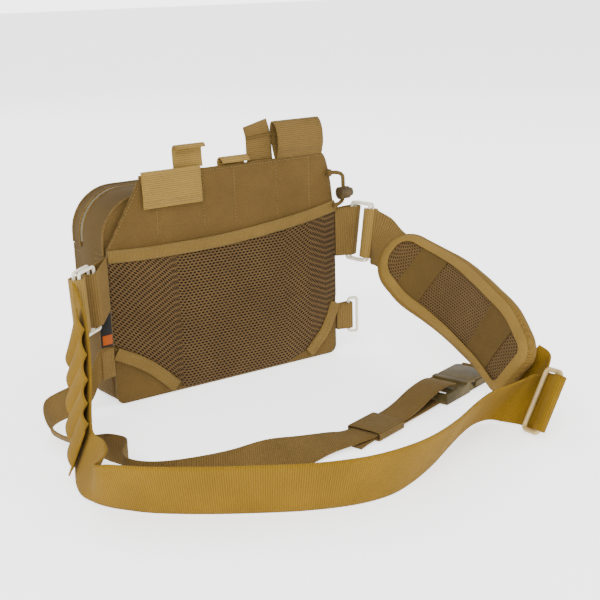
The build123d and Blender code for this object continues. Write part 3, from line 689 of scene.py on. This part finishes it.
# ---- bindings of the pocket ----
# Ribbed tape, 12 mm wide, folded over the raw edge of the net and sewn along both sides.
weaving, inward, outward = new_group(
    "ribbed tape",
    {"Place": None, "Rib": 0.0019, "Yarn": 0.0011},
    ["Height", "Groove"],
)
step = partial(sum_node, weaving)
parts = add_node(weaving, "SeparateXYZ", [(0, inward[0])])
along = step("DIVIDE", parts.outputs[0], inward[1])
aside = step("DIVIDE", parts.outputs[1], inward[2])
rib = step("ABSOLUTE", step("SINE", step("MULTIPLY", along, math.pi)))
shifted = step("MULTIPLY_ADD", step("FLOOR", along), 0.5, aside)
yarn = step("ABSOLUTE", step("SINE", step("MULTIPLY", shifted, math.pi)))
pile = step("MULTIPLY_ADD", yarn, 0.35, step("MULTIPLY", rib, 0.65))
weaving.links.new(pile, outward[0])
groove = add_node(weaving, "MapRange", [("Value", pile), ("From Min", 0.05), ("From Max", 0.6)])
weaving.links.new(groove.outputs[0], outward[1])


def ribbed(name, dark, light, rib=0.0019, yarn=0.0012, depth=0.0007, **finish):
    """Woven tape whose ribs run across it, on its own woven map."""
    made, place, (height, groove) = on_weave(name, weaving, rib, yarn)
    return cloth_shader(made, dark, light, groove, height, place, depth=depth, **finish)


def strip_rows(line, width, y):
    """Band stations for a flat tape that follows points in X and Z at one depth."""
    rows = []
    for k, (x, z) in enumerate(line):
        (x0, z0), (x1, z1) = line[max(k - 1, 0)], line[min(k + 1, len(line) - 1)]
        ahead = Vector((x1 - x0, 0, z1 - z0)).normalized()
        aside = Vector((-ahead.z, 0, ahead.x)) * (width / 2)
        rows.append(((x - aside.x, y, z - aside.z), (x + aside.x, y, z + aside.z)))
    return rows


def off_net(spot, run, share):
    """The tape stands off with the net that it holds."""
    return 0.0012 * max(math.cos(spot.x / 0.126 * math.pi / 2), 0) ** 0.5


binding_tape = ribbed("binding tape", paint(104, 82, 42), paint(158, 128, 72), rib=0.0013, yarn=0.0010)
TAPE_WIDE = 0.012
top_rows = strip_rows(MESH_TOP, TAPE_WIDE, -0.0384)
top_tape = lay_band("pocket_top_tape", top_rows, 0.0022, 6, 8, swell=off_net)
put_on(top_tape, "pack", "binding", binding_tape, "mesh_top_binding")
CORNERS = {
    "left": ((-0.1240, 0.051), (-0.092, 0.032), (-0.064, 0.006)),
    "right": ((0.1235, 0.055), (0.111, 0.029), (0.090, 0.007)),
}
SEWN_AT = (-0.0045, 0.0045)
for name, line in CORNERS.items():
    tape = lay_band(f"corner_tape_{name}", strip_rows(line, TAPE_WIDE, -0.0392), 0.0018, 6, 8)
    put_on(tape, "pack", "binding", binding_tape, *(["mesh_corner_bindings"] if name == "left" else []))
    rows = [[(x, -0.0402, z + shift) for x, z in line] for shift in SEWN_AT]
    sew(f"corner_stitches_{name}", "pack", rows, (0, -1, 0))
rows = []
for shift in SEWN_AT:
    rows.append([(x, -0.0396 - off_net(Vector((x, 0, 0)), 0, 0), z + shift) for x, z in MESH_TOP])
sew("pocket_top_stitches", "pack", rows, (0, -1, 0))

# ---- straps on the top edge ----
# Five ends of webbing sewn into the top edge: a wide flap folded down over the panel, a curled
# narrow end, a low roll, a narrow upright end and a wide standing loop.
WEBBING = 0.0018
webbing_tan = ribbed("webbing tan", paint(112, 88, 46), paint(186, 152, 86))
webbing_dun = ribbed("webbing dun", paint(82, 64, 35), paint(152, 122, 70))


def yz_band(path, low_x, high_x, lean=0.0):
    """Band stations for a strap drawn in Y and Z, between two places on the width."""
    return [((low_x - lean * (z - 0.211), y, z), (high_x - lean * (z - 0.211), y, z)) for y, z in path]


def strap(name, rows, cells, per_span, body, cloth, *nodes, **shape):
    """A band of webbing, 1.8 mm thick, laid and put on its body."""
    return put_on(lay_band(name, rows, WEBBING, cells, per_span, **shape), body, "webbing", cloth, *nodes)


anchor_spots = ((-0.088, -0.027, -0.0339), (-0.052, -0.021, -0.0319))
anchor_spots += ((0.028, 0.057, -0.0319), (0.059, 0.112, -0.0339))
for k, (low_x, high_x, y) in enumerate(anchor_spots):
    rows = yz_band([(y, 0.189), (y, 0.200), (y, 0.2105)], low_x, high_x)
    strap(f"strap_root_{k}", rows, 6, 3, "pack", webbing_dun, *(["strap_anchors"] if k == 0 else []))
fold = arc((-0.0367, 0.2114), 0.0030, 130, 180, 4)
fold += [(-0.0403, 0.204), (-0.0413, 0.192), (-0.0411, 0.181)]
strap("top_flap_wide", yz_band(fold, -0.088, -0.027), 12, 4, "wide_flap_left", webbing_tan, "wide_flap_left")
flap_rows = [[(-0.086, -0.0424, z), (-0.029, -0.0424, z)] for z in (0.184, 0.187)]
sew("top_flap_stitches", "wide_flap_left", flap_rows, (0, -1, 0))
curl = [(-0.0319, 0.2118), (-0.0309, 0.219), (-0.0305, 0.226)] + arc((-0.0351, 0.229), 0.0046, 0, 150, 6)
curl_rows = yz_band(curl, -0.051, -0.020)
strap("top_curl_narrow", curl_rows, 8, 3, "narrow_strap_left", webbing_tan, "narrow_strap_left")
curl_line = [(-0.049, -0.0316, 0.226), (-0.022, -0.0316, 0.226)]
sew("top_curl_stitches", "narrow_strap_left", [curl_line], (0, -1, 0))
upright = [
    ((0.0280, -0.0319, 0.2092), (0.0570, -0.0319, 0.2092)),
    ((0.0270, -0.0325, 0.2210), (0.0560, -0.0325, 0.2210)),
    ((0.0262, -0.0333, 0.2330), (0.0545, -0.0333, 0.2350)),
    ((0.0215, -0.0372, 0.2435), (0.0480, -0.0372, 0.2500)),
]
strap("top_upright_narrow", upright, 8, 8, "narrow_strap_right", webbing_dun, "narrow_strap_right")
hem_line = [(0.0265, -0.0346, 0.2325), (0.040, -0.0348, 0.2338), (0.0545, -0.0346, 0.2350)]
hem_cloth = canvas("strap hem", paint(104, 82, 44), paint(150, 121, 68))
put_on(lay_tube("top_upright_hem", hem_line, 0.0012), "narrow_strap_right", "webbing", hem_cloth)
loop_path = [(-0.0354, 0.2094), (-0.0384, 0.2150), (-0.0415, 0.224), (-0.0420, 0.236), (-0.0395, 0.243)]
loop_path += [(-0.0355, 0.2458), (-0.0315, 0.2435), (-0.0294, 0.236), (-0.0296, 0.224)]
loop_path += [(-0.0312, 0.2150), (-0.0326, 0.2094)]
loop_rows = yz_band(loop_path, 0.059, 0.112, 0.1)
strap("top_loop_wide", loop_rows, 12, 4, "wide_loop_right", webbing_dun, "wide_loop_right")
sew("top_loop_stitches", "wide_loop_right", [[(0.060, -0.0411, 0.217), (0.110, -0.0411, 0.217)]], (0, -1, 0))
roll_rows = yz_band(arc((-0.0336, 0.2120), 0.0054, -60, 172, 12), -0.003, 0.027)
strap("top_low_roll", roll_rows, 8, 2, "pack", webbing_tan, "low_roll_loop")

# ---- side tabs and rings ----
# Doubled webbing sewn into the side seams. Each upper tab holds a pair of slim wire rings in
# pale enamel, and the sling's webbing is rolled round their outer bars.
ring_finish = {"rough": 0.32, "grain": 500.0, "depth": 0.00004, "Coat_Weight": 0.3}
ring_enamel = moulded("ring enamel", paint(188, 180, 156), paint(226, 220, 200), **ring_finish)


def tab_rows(seam_low, seam_high, middle, axis, width, radius):
    """Stations from a seam, round a bar and back to the seam."""
    half = axis.normalized() * (width / 2)
    low, high = middle - half, middle + half
    seam_low, seam_high = Vector(seam_low), Vector(seam_high)
    along = ((low + high) - (seam_low + seam_high)).normalized()
    out = along.cross(high - low).normalized()
    rows = [(seam_low + out * 0.00095, seam_high + out * 0.00095)]
    for k in range(11):
        angle = math.radians(105 - 21 * k)
        shift = along * (radius * math.cos(angle)) + out * (radius * math.sin(angle))
        rows.append((low + shift, high + shift))
    return rows + [(seam_low - out * 0.00095, seam_high - out * 0.00095)]


def wire_loop(name, middle, axis, side, span, length, offset, wire, corner=0.0022):
    """A closed wire rectangle with rounded corners; middle is the middle of its first bar."""
    axis = axis.normalized()
    side = (side - axis * side.dot(axis)).normalized()
    lift = side.cross(axis) * offset
    path = []
    for cx, cy, turn in ((span, 0.5, 0), (0, 0.5, 90), (0, -0.5, 180), (span, -0.5, 270)):
        mx = cx - corner if cx else corner
        my = (length / 2 - corner) * (1 if cy > 0 else -1)
        for x, y in arc((mx, my), corner, turn, turn + 90, 5):
            path.append(middle + lift + side * x + axis * y)
    return lay_tube(name, path, wire / 2, closed=True, sides=5)


HALF_STRAP, ROLL_R, RING_SPAN, RING_LONG, SIDE_X, SEAM_Y = 0.025, 0.0065, 0.022, 0.058, 0.1264, -0.036
SIDES = {
    "right": ((0.146, -0.038, 0.128), (0.139, 0, 0.990), (0.29, -0.955, -0.04), SIDE_X, (0.103, 0.153)),
    "left": ((-0.144, -0.045, 0.110), (-0.05, -0.03, 0.998), (-0.832, -0.512, -0.217), -SIDE_X, (0.093, 0.142)),
}
outer_bars = {}
for side, (*lines, x, (z0, z1)) in SIDES.items():
    bar, axis, reach = map(Vector, lines)
    rows = tab_rows((x, SEAM_Y, z0), (x, SEAM_Y, z1), bar, axis, 2 * HALF_STRAP, ROLL_R)
    strap(f"side_tab_{side}", rows, 10, 3, "pack", webbing_dun, f"upper_tab_{side}")
    rings = []
    for k in (-1, 1):
        rings.append(wire_loop(f"ring_{side}_{k}", bar, axis, reach, RING_SPAN, RING_LONG, k * 0.003, 0.003))
    put_on(rings[0], "pack", "ring_wire", ring_enamel, f"ring_{side}")
    put_on(rings[1], "pack", "ring_wire", ring_enamel)
    unit = axis.normalized()
    flat = (reach - unit * reach.dot(unit)).normalized()
    centre = bar + flat * RING_SPAN
    outer_bars[side] = (centre, unit, flat)
    wrap = []
    for k in range(19):
        angle = math.radians(160 - 320 * k / 18)
        shift = flat * (ROLL_R * math.cos(angle)) + flat.cross(unit) * (ROLL_R * math.sin(angle))
        wrap.append((centre - unit * HALF_STRAP + shift, centre + unit * HALF_STRAP + shift))
    strap(f"ring_roll_{side}", wrap, 10, 2, "pack", webbing_tan, f"ring_sleeve_{side}")

tab_line = ((-SIDE_X, -0.0366), (-0.133, -0.0388), (-0.140, -0.0413))
for name, shift, nodes in (("face", -0.00195, ["lower_tab_left"]), ("rear", 0.00195, [])):
    ply = [((x, y + shift, 0.030), (x, y + shift, 0.058)) for x, y in tab_line]
    strap(f"low_tab_left_{name}", ply, 8, 3, "pack", webbing_dun, *nodes)
slider_bar, upright = Vector((0.1405, -0.0384, 0.038)), Vector((0, 0, 1))
rows = tab_rows((0.1266, SEAM_Y, 0.024), (0.1266, SEAM_Y, 0.052), slider_bar, upright, 0.028, 0.0036)
strap("low_tab_right", rows, 8, 3, "pack", webbing_dun, "lower_tab_right")
low_ring = wire_loop("low_ring_right", slider_bar, upright, Vector((1, -0.4, 0)), 0.009, 0.036, 0.0, 0.0031)
put_on(low_ring, "lower_slider_bar", "ring_wire", ring_enamel, "lower_slider_bar")

# ---- side tag ----
# A plain dark woven tag in the left seam, with one plain orange block and no lettering.
tag_cloth = canvas("dark tag", paint(20, 20, 20), paint(44, 42, 38), pitch=0.0007, sheen=0.1)
block_cloth = canvas("orange block", paint(196, 84, 16), paint(232, 116, 34), pitch=0.0007, sheen=0.1)
put_on(round_off("side_label", "side_tag", 0.0003), "pack", "label", tag_cloth, "side_label")
block = round_off("side_label_block", "side_tag_block", 0.00015)
put_on(block, "pack", "label_block", block_cloth, "side_label_block")

# ---- sling strap ----
# One length of 50 mm webbing from the left ring down to the ground, across the front and
# up to the tri-glide. Its first part is doubled, the outer layer tacked down into loops.
MAIN = [
    ((-174.2, -61.9, 71.6), (-171.3, -83.9, 114.7)), ((-178, -69, 65), (-174, -96, 107)),
    ((-186, -87, 52), (-182, -118, 91)), ((-195, -104, 38), (-190, -136, 76)),
    ((-204, -122, 24), (-198, -152, 63)), ((-212, -142, 11), (-206, -168, 53)),
    ((-221, -163, 1), (-213, -186, 46)), ((-227, -180, 1), (-213, -205, 46)),
    ((-230, -195, 1), (-218, -222, 45)), ((-229, -206, 1), (-227, -232, 44)),
    ((-226, -215, 1), (-236, -238, 44)), ((-221, -226, 1), (-236, -246, 46)),
    ((-213, -238, 1), (-229, -253, 47)), ((-198, -256, 1), (-211, -271, 47)),
    ((-169, -280, 1), (-180, -295, 47)), ((-137, -302, 1), (-146, -318, 47)),
    ((-105, -321, 1), (-112, -339, 47)), ((-72, -334, 1), (-75, -353, 47)),
    ((-42, -337, 1), (-41, -356, 47)), ((-13, -329, 1), (-8, -350, 46)),
    ((18, -315, 1), (28, -336, 45)), ((52, -296, 1), (65, -317, 44)),
    ((80, -281, 1), (93, -305, 43)), ((100, -274, 2), (112, -303, 43)),
    ((115, -276, 3), (129, -304, 45)), ((122, -288, 3), (138, -306, 48)),
    ((126, -301, 4), (151, -305, 45)),
]


def metres(rows):
    """Stations given in millimetres, in metres."""
    return [(Vector(a) / 1000, Vector(b) / 1000) for a, b in rows]


glide_up = Vector((0.52, 0.03, 0.855)).normalized()
glide_side = Vector((-0.08, -0.99, 0.08))
glide_side = (glide_side - glide_up * glide_side.dot(glide_up)).normalized()
glide_out = glide_up.cross(glide_side)
GLIDE_BAR = Vector((0.1350, -0.3125, 0.0290))


def round_glide(turns):
    """Stations at the tri-glide, from offsets along its span and off its plane in millimetres."""
    rows = []
    for side, out in turns:
        middle = GLIDE_BAR + glide_side * (side / 1000) + glide_out * (out / 1000)
        rows.append((middle - glide_up * HALF_STRAP, middle + glide_up * HALF_STRAP))
    return rows


wrap = round_glide(((0, 3.4), (12, 3.4), (19, 3.4), (22.2, 1.8), (22.2, -1.8), (19, -3.4), (14, -3.0)))
strap_cloth = ribbed("sling webbing", paint(102, 76, 26), paint(170, 131, 46), rib=0.0017, yarn=0.0013)
strap("sling_webbing", metres(MAIN) + wrap, 10, 6, "sling", strap_cloth, "main_strap")


def tacked(spot, run, share):
    """The outer layer bows out between its tacks and lies flat at each one."""
    phase = (run / 0.0247 + 0.15 * share) % 1.0
    return 0.0042 * max(math.sin(math.pi * phase), 0) ** 0.7


loops_fit = {"low": 0.001, "high": 0.001, "lift": 0.0021, "swell": tacked}
daisy = lay_band("sling_loops", metres(MAIN[:7]), 0.0017, 10, 16, **loops_fit)
put_on(daisy, "sling", "webbing", strap_cloth, "daisy_loops")


def bridge_strap(name, rows, per_span, cloth, lift=0.0):
    """Webbing laid across the sling's joint, from a place on the pack to one on the sling, fixed in place on no
    body.
    """
    piece = lay_band(name, rows, WEBBING, 10, per_span, lift=lift)
    piece.data.materials.append(cloth)
    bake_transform(piece)


def off_ring(side):
    """Where webbing leaves the outer bar of a ring, and its first station there."""
    bar, axis, flat = outer_bars[side]
    start = bar + flat * 0.0060
    return start, (start - axis * HALF_STRAP, start + axis * HALF_STRAP)


start, first_row = off_ring("left")
sling_row = metres(MAIN[:1])[0]
bridge = [first_row, ((-0.1715, -0.0600, 0.0775), (-0.1690, -0.0720, 0.1235)), sling_row]
bridge_strap("sling_bridge_left", bridge, 6, strap_cloth)

# ---- shoulder pad ----
# Foam between a net face and a cloth face, bound all round with wide tape and crossed by two
# plain patches. It is stuffed by blowing the closed shape up a little as cloth.
PAD = metres(
    [
        ((137, -84, 93), (182, -84, 132)), ((141, -100, 80), (187, -104, 125)),
        ((145, -118, 66), (193, -131, 117)), ((150, -147, 55), (190, -163, 113)),
        ((151, -176, 46), (181, -197, 108)), ((149, -204, 37), (171, -229, 102)),
        ((146, -230, 28), (162, -264, 91)), ((143, -251, 17), (153, -292, 70)),
    ]
)


def fill_with_air(piece, voxel, cap, pressure=4.0, frames=20):
    """Swells a closed shape as cloth under a little pressure, by no more than the cap."""
    pick_only(piece)
    mesher = piece.modifiers.new("even", "REMESH")
    mesher.mode = "VOXEL"
    mesher.voxel_size = voxel
    bpy.ops.object.modifier_apply(modifier=mesher.name)
    start = [vertex.co.copy() for vertex in piece.data.vertices]
    cloth = piece.modifiers.new("stuffing", "CLOTH")
    cloth.settings.use_pressure = True
    cloth.settings.uniform_pressure_force = pressure
    cloth.settings.effector_weights.gravity = 0
    cloth.point_cache.frame_start = 1
    cloth.point_cache.frame_end = frames
    for moment in range(1, frames + 1):
        bpy.context.scene.frame_set(moment)
    bpy.ops.object.modifier_apply(modifier=cloth.name)
    bpy.context.scene.frame_set(1)
    for vertex, rest in zip(piece.data.vertices, start):
        moved = vertex.co - rest
        if moved.length > cap:
            vertex.co = rest + moved * (cap / moved.length)
    smoother = piece.modifiers.new("smooth", "SUBSURF")
    smoother.levels = 1
    smoother.render_levels = 1
    bpy.ops.object.modifier_apply(modifier=smoother.name)
    bpy.ops.object.shade_smooth()


def part_of(rows, start, finish, steps):
    """Stations between two places on a band."""
    lower, upper = [Vector(r[0]) for r in rows], [Vector(r[1]) for r in rows]
    places = [start + (finish - start) * k / steps for k in range(steps + 1)]
    return [(smooth_at(lower, place), smooth_at(upper, place)) for place in places]


def moved_out(row, inner, distance):
    """An end station moved further out, in metres, away from the one inside it."""
    return tuple(a + (a - b).normalized() * distance for a, b in zip(row, inner))


LONG_PAD = [moved_out(PAD[0], PAD[1], 0.006), *PAD[1:-1], moved_out(PAD[-1], PAD[-2], 0.013)]
PAD_FINE = part_of(LONG_PAD, 0, len(PAD) - 1, 140)
PAD_RUN = [0.0]
for near, far in zip(PAD_FINE, PAD_FINE[1:]):
    PAD_RUN.append(PAD_RUN[-1] + ((far[0] + far[1]) / 2 - (near[0] + near[1]) / 2).length)
RING_END, GLIDE_END, LONG = 0.0275, 0.0180, PAD_RUN[-1]
TURNS = [math.radians(90 * k / 12) for k in range(13)]


def pad_rows(inset, start=0.0, finish=1.0):
    """Pairs of edge points of the pad's outline, drawn in by an inset, with rounded ends."""
    bend, marks = RING_END - inset, []
    for turn in TURNS:
        marks.append((inset + bend * (1 - math.cos(turn)), inset + bend * (1 - math.sin(turn))))
    marks += [(RING_END + (LONG - RING_END - GLIDE_END) * k / 40, inset) for k in range(1, 40)]
    bend = GLIDE_END - inset
    for turn in reversed(TURNS):
        marks.append((LONG - inset - bend * (1 - math.cos(turn)), inset + bend * (1 - math.sin(turn))))
    rows = []
    for run, side in marks:
        if not start * LONG <= run <= finish * LONG:
            continue
        spot = max(k for k in range(len(PAD_RUN)) if PAD_RUN[k] <= run + 1e-9)
        spot = min(spot, len(PAD_RUN) - 2)
        share = (run - PAD_RUN[spot]) / (PAD_RUN[spot + 1] - PAD_RUN[spot])
        low, high = (a.lerp(b, share) for a, b in zip(PAD_FINE[spot], PAD_FINE[spot + 1]))
        across = (high - low).normalized()
        rows.append((low + across * side, high - across * side))
    return rows


pad_body = lay_band("pad_filling", pad_rows(0.006), 0.0058, 14, 1)
fill_with_air(pad_body, voxel=0.004, cap=0.0012)
foam_cloth = canvas("pad edge cloth", paint(70, 56, 34), paint(104, 84, 52), pitch=0.0012)
put_on(pad_body, "sling", "foam", foam_cloth, "pad_core")
pad_net = open_net("pad net", paint(62, 47, 28), paint(132, 105, 68), 0.0036, 0.0023, depth=0.0006)


def pad_crown(spot, run, share):
    """The face follows the stuffing, highest along its middle."""
    return 0.0018 * max(math.sin(math.pi * share), 0) ** 0.6


def pad_hollow(spot, run, share):
    """The outer face, on the other side of the stuffing."""
    return -pad_crown(spot, run, share)


FACE_IN, FACE_LIFT = 0.006, 0.0046
face = lay_band("pad_net_face", pad_rows(FACE_IN), 0.0010, 18, 1, lift=FACE_LIFT, swell=pad_crown)
put_on(face, "sling", "pad_mesh", pad_net, "pad_mesh_face")
outer = lay_band("pad_outer_cloth", pad_rows(FACE_IN), 0.0010, 18, 1, lift=-FACE_LIFT, swell=pad_hollow)
put_on(outer, "sling", "pack_fabric", panel_cloth, "pad_outer_face")
patch_weave = {"pitch": 0.0008, "depth": 0.0002, "mapped": True}
patch_cloth = canvas("pad patch cloth", paint(100, 79, 44), paint(128, 102, 58), **patch_weave)
for k, (start_at, end_at) in enumerate(((0.155, 0.335), (0.690, 0.870))):
    rows = pad_rows(0.007, start_at, end_at)
    patch = lay_band(f"pad_patch_{k}", rows, 0.0009, 16, 1, lift=0.0057, swell=pad_crown)
    put_on(patch, "sling", "pack_fabric", patch_cloth, *(["pad_patches"] if k == 0 else []))
binding_wide = ribbed("pad binding tape", paint(118, 92, 44), paint(186, 150, 82), rib=0.0014, yarn=0.0012)
canvas_tape = canvas("rolled tape", paint(134, 105, 52), paint(164, 130, 70), pitch=0.0013, depth=0.0003)


def pad_round(inset):
    """The pad's outline as one closed run of points."""
    rows = pad_rows(inset)
    return [low for low, high in rows] + [high for low, high in reversed(rows)]


def rolled(side):
    """How the flat tape rises from the pad's edge, on the net side (1) or the cloth side (-1)."""
    return lambda spot, run, share: 0.0030 * side * math.sin(share * math.pi / 2)


roll = lay_tube("pad_roll", pad_round(0.0050), 0.0052, closed=True, sides=6)
put_on(roll, "sling", "binding", canvas_tape, "pad_binding_lower")
for facing, side, nodes in (("net", 1, ["pad_binding_upper"]), ("cloth", -1, [])):
    ring = list(zip(pad_round(0.0030), pad_round(0.0120)))
    ring.append(ring[0])
    cover = lay_band(f"pad_tape_{facing}", ring, 0.0012, 6, 1, lift=0.0050 * side, swell=rolled(side))
    put_on(cover, "sling", "binding", binding_wide, *nodes)
backing = lay_band("pad_backing_webbing", pad_rows(0.014), 0.0016, 10, 1, lift=-0.0090)
put_on(backing, "sling", "webbing", strap_cloth, "pad_back_webbing")

# The webbing that leaves the right ring and is sewn to the end of the pad, doubled over.
start, first_row = off_ring("right")
end_low, end_high = PAD[0]
towards = (end_high - end_low).normalized() * 0.008
hidden_low, hidden_high = PAD_FINE[17]
bridge = [first_row, ((0.1440, -0.0730, 0.0985), (0.1715, -0.0730, 0.1410))]
bridge += [(end_low + towards, end_high - towards * 0.75), (hidden_low + towards, hidden_high - towards)]
for k, lift in ((0, 0.0), (1, 0.0026)):
    bridge_strap(f"pad_end_webbing_{k}", bridge, 8, webbing_dun, lift)

# ---- tri-glide ----
# A sand-coloured metal tri-glide: a flat rounded frame, with the strap round its far bar and
# the short webbing from the pad round its near one.
glide_finish = {"rough": 0.34, "grain": 600.0, "depth": 0.00004}
glide_enamel = moulded("tri-glide enamel", paint(138, 116, 72), paint(182, 156, 102), **glide_finish)
glide = wire_loop("glide_frame", GLIDE_BAR, glide_up, glide_side, 0.018, 0.055, 0.0, 0.0043, corner=0.004)
put_on(glide, "sling", "glide_wire", glide_enamel, "tri_glide")
tail = metres([((150, -262, 24), (161, -290, 66)), ((152, -276, 13), (167, -298, 58))])
tail += round_glide(((-9, 9.5), (0, 6.6), (7, 6.0)))
strap("pad_tail_strap", tail, 10, 6, "sling", strap_cloth, "pad_tail_webbing")

# ---- waist strap ----
# A 28 mm strap from the lower left tab that stands on edge, twists, and runs to the buckle,
# where its end is folded back through a sewn keeper.
WAIST = [
    ((-128, -37.2, 30), (-128, -37.2, 58)), ((-142, -42, 30), (-142, -42, 58)),
    ((-150, -40, 14), (-149, -38, 42)), ((-160, -37, 3), (-158, -33, 31)),
    ((-172, -38, 1), (-171, -34, 28)), ((-186, -44, 1), (-187, -42, 28)),
    ((-197, -54, 1), (-199, -50, 27)), ((-201, -68, 1), (-208, -68, 24)),
    ((-199, -84, 1), (-211, -87, 17)), ((-194, -100, 1), (-207, -106, 14)),
    ((-190, -118, 1), (-200, -121, 16)), ((-188, -136, 1), (-192, -138, 22)),
    ((-185, -152, 1), (-186, -154, 27)), ((-180, -168, 1), (-180, -170, 28)),
    ((-184, -182, 1), (-185, -183, 28)), ((-192, -194, 1), (-194, -196, 28)),
    ((-194, -208, 1), (-196, -210, 28)), ((-184, -222, 1), (-186, -225, 28)),
    ((-164, -234, 1), (-165, -236, 28)), ((-130, -246, 1), (-129, -244, 28)),
    ((-95, -252, 1), (-92, -242, 27)), ((-62, -256, 1), (-55, -234, 18)),
    ((-30, -251, 3), (-22, -225, 9)),
]
HEADING = math.radians(17)
HALF_WAIST = 14


def on_line(s, across, z):
    """A place at the buckle's end, in millimetres: s along the strap, across to its far side."""
    b = across - 229
    return (s * math.cos(HEADING) - b * math.sin(HEADING), s * math.sin(HEADING) + b * math.cos(HEADING), z)


def line_rows(steps, half=HALF_WAIST):
    """Band stations at the buckle's end, from places along the strap and their heights."""
    return [(on_line(s, -half, z), on_line(s, half, z)) for s, z in steps]


WAIST += line_rows(((-64, 5.2), (-18, 5.2), (4, 7.5), (24, 12.5), (42, 15.2), (56, 15.2), (67, 12.5)))
strap("waist_webbing", metres(WAIST), 8, 5, "pack", webbing_dun, "waist_strap")
back_run = line_rows(((-82, 1.2), (-64, 2.6), (-18, 2.6), (10, 2.6), (30, 3.0), (40, 3.2)))
strap("waist_tail", metres(back_run), 8, 5, "pack", webbing_dun, "waist_strap_return")
keeper_tape = ribbed("keeper tape", paint(96, 76, 42), paint(152, 124, 74))
half_round = [(0, 0.8), (12, 0.8), (16.4, 1.4), (16.6, 4.3), (16.2, 7.2), (12, 7.8), (0, 7.9)]
keeper_round = half_round + [(-across, z) for across, z in half_round[5:0:-1]] + [(-0.6, 0.8)]
keeper_rows = [(on_line(-24, across, z), on_line(-60, across, z)) for across, z in keeper_round]
keeper = lay_band("waist_keeper", metres(keeper_rows), 0.0013, 8, 3)
put_on(keeper, "strap_keeper", "webbing", keeper_tape, "strap_keeper")
sew("keeper_stitches", "strap_keeper", metres(line_rows(((-40, 8.6), (-44, 8.6)), 13)), (0, 0, 1))

# ---- buckle ----
# A side-release buckle in olive-grey plastic: an open ladder end with its bar, and a housing
# whose two side windows show the tips of the prongs.
plastic_finish = {"rough": 0.55, "Specular_IOR_Level": 0.12}
buckle_plastic = moulded("buckle plastic", paint(54, 45, 20), paint(80, 67, 33), **plastic_finish)
for node in ("buckle_male", "buckle_female", "buckle_prong_near", "buckle_prong_far"):
    body = "pack" if node in ("buckle_male", "buckle_female") else node
    put_on(round_off(node, f"{node}_moulding", 0.0010, 3), body, "buckle_plastic", buckle_plastic, node)
end_path = [(134.0, 7.2), *arc((124.0, 6.2), 4.9, 40, 320, 12), (134.0, 5.2)]
end_rows = metres(line_rows(end_path, -HALF_WAIST))
strap("buckle_end_strap", end_rows, 8, 2, "pack", webbing_dun, "buckle_end_loop")

# ---- front webbing, loop patch and sleeve ----
# Three rows of 25 mm webbing barred down to the front wall, a strip of loop pile on the lid,
# and a flat sleeve inside the main compartment.
BAR_XS = (-0.098, -0.066, -0.033, 0.0, 0.033, 0.066, 0.098)
for k, row_z in enumerate((0.020, 0.058, 0.096)):
    rows = [((x, 0.0379, row_z), (x, 0.0379, row_z + 0.025)) for x in (0.102, 0.051, 0.0, -0.051, -0.102)]
    nodes = ["front_webbing_rows"] if k == 0 else []
    strap(f"front_row_{k}", rows, 6, 14, "pack", webbing_tan, *nodes, lift=0.0014)
    bars = [[(x, 0.0403, row_z + 0.002), (x, 0.0403, row_z + 0.023)] for x in BAR_XS]
    sew(f"front_row_bars_{k}", "pack", bars, (0, 1, 0), pitch=0.0016)
pile_finish = {"pitch": 0.0016, "depth": 0.0016, "sheen": 0.5, "mapped": True}
pile_cloth = canvas("loop pile", paint(72, 58, 34), paint(122, 98, 58), **pile_finish)
rows = [((x, 0.0378, 0.156), (x, 0.0378, 0.184)) for x in (0.060, 0.020, -0.020, -0.060)]
pile_strip = lay_band("lid_loop_pile", rows, 0.0016, 8, 10, lift=0.0012)
put_on(pile_strip, "front_flap", "loop_pile", pile_cloth, "front_loop_patch")
sleeve_path = [(-0.104, -0.0280), (-0.104, -0.0225), (-0.100, -0.0214)]
sleeve_path += [(-x, y) for x, y in reversed(sleeve_path)]
rows = [((x, y, 0.004), (x, y, 0.120)) for x, y in sleeve_path]
sleeve = lay_band("inner_sleeve_cloth", rows, 0.0012, 12, 6)
put_on(sleeve, "pack", "pack_fabric", wall_cloth, "inner_sleeve")

# ---- studio ----
# A plain pale floor, itself a little bright, under soft light: a broad lamp above on the left,
# weaker ones on the right and behind, and a surround that is brightest low down.
bpy.ops.object.select_all(action="DESELECT")
bpy.ops.mesh.primitive_plane_add(size=30, location=(0, 0, -0.0004))
floor = bpy.context.object
floor.name = "studio_floor"
floor_paint = new_material("floor paint")
floor_look = {"Base_Color": (0.93, 0.93, 0.93, 1), "Roughness": 0.9}
tune(floor_paint, **floor_look, Emission_Color=(1, 1, 1, 1), Emission_Strength=1.5)
floor.data.materials.append(floor_paint)
world = bpy.data.worlds.new("studio air")
bpy.context.scene.world = world
world.use_nodes = True
air = world.node_tree
air.nodes["Background"].inputs[0].default_value = (1, 1, 1, 1)
height = add_node(air, "SeparateXYZ", [(0, add_node(air, "TexCoord").outputs["Generated"])]).outputs[2]
glow = add_node(air, "MapRange", [(0, height), (1, 0.12), (2, 0.5), (3, 4.2), (4, 1.1)])
air.links.new(glow.outputs[0], air.nodes["Background"].inputs[1])


def soft_lamp(name, place, target, power, size=1.6):
    """A square lamp turned towards a place."""
    bpy.ops.object.light_add(type="AREA", location=place)
    lamp = bpy.context.object
    lamp.name = name
    lamp.data.size = size
    lamp.data.energy = power
    lamp.rotation_euler = (Vector(target) - Vector(place)).to_track_quat("-Z", "Y").to_euler()


soft_lamp("key_lamp", (-1.6, -1.7, 2.0), (0, -0.1, 0.08), 76)
soft_lamp("side_lamp", (1.9, -1.0, 1.3), (0, -0.1, 0.08), 26)
soft_lamp("rear_lamp", (0.2, 2.0, 1.8), (0, 0, 0.1), 30)

bpy.data.objects.remove(stitch)
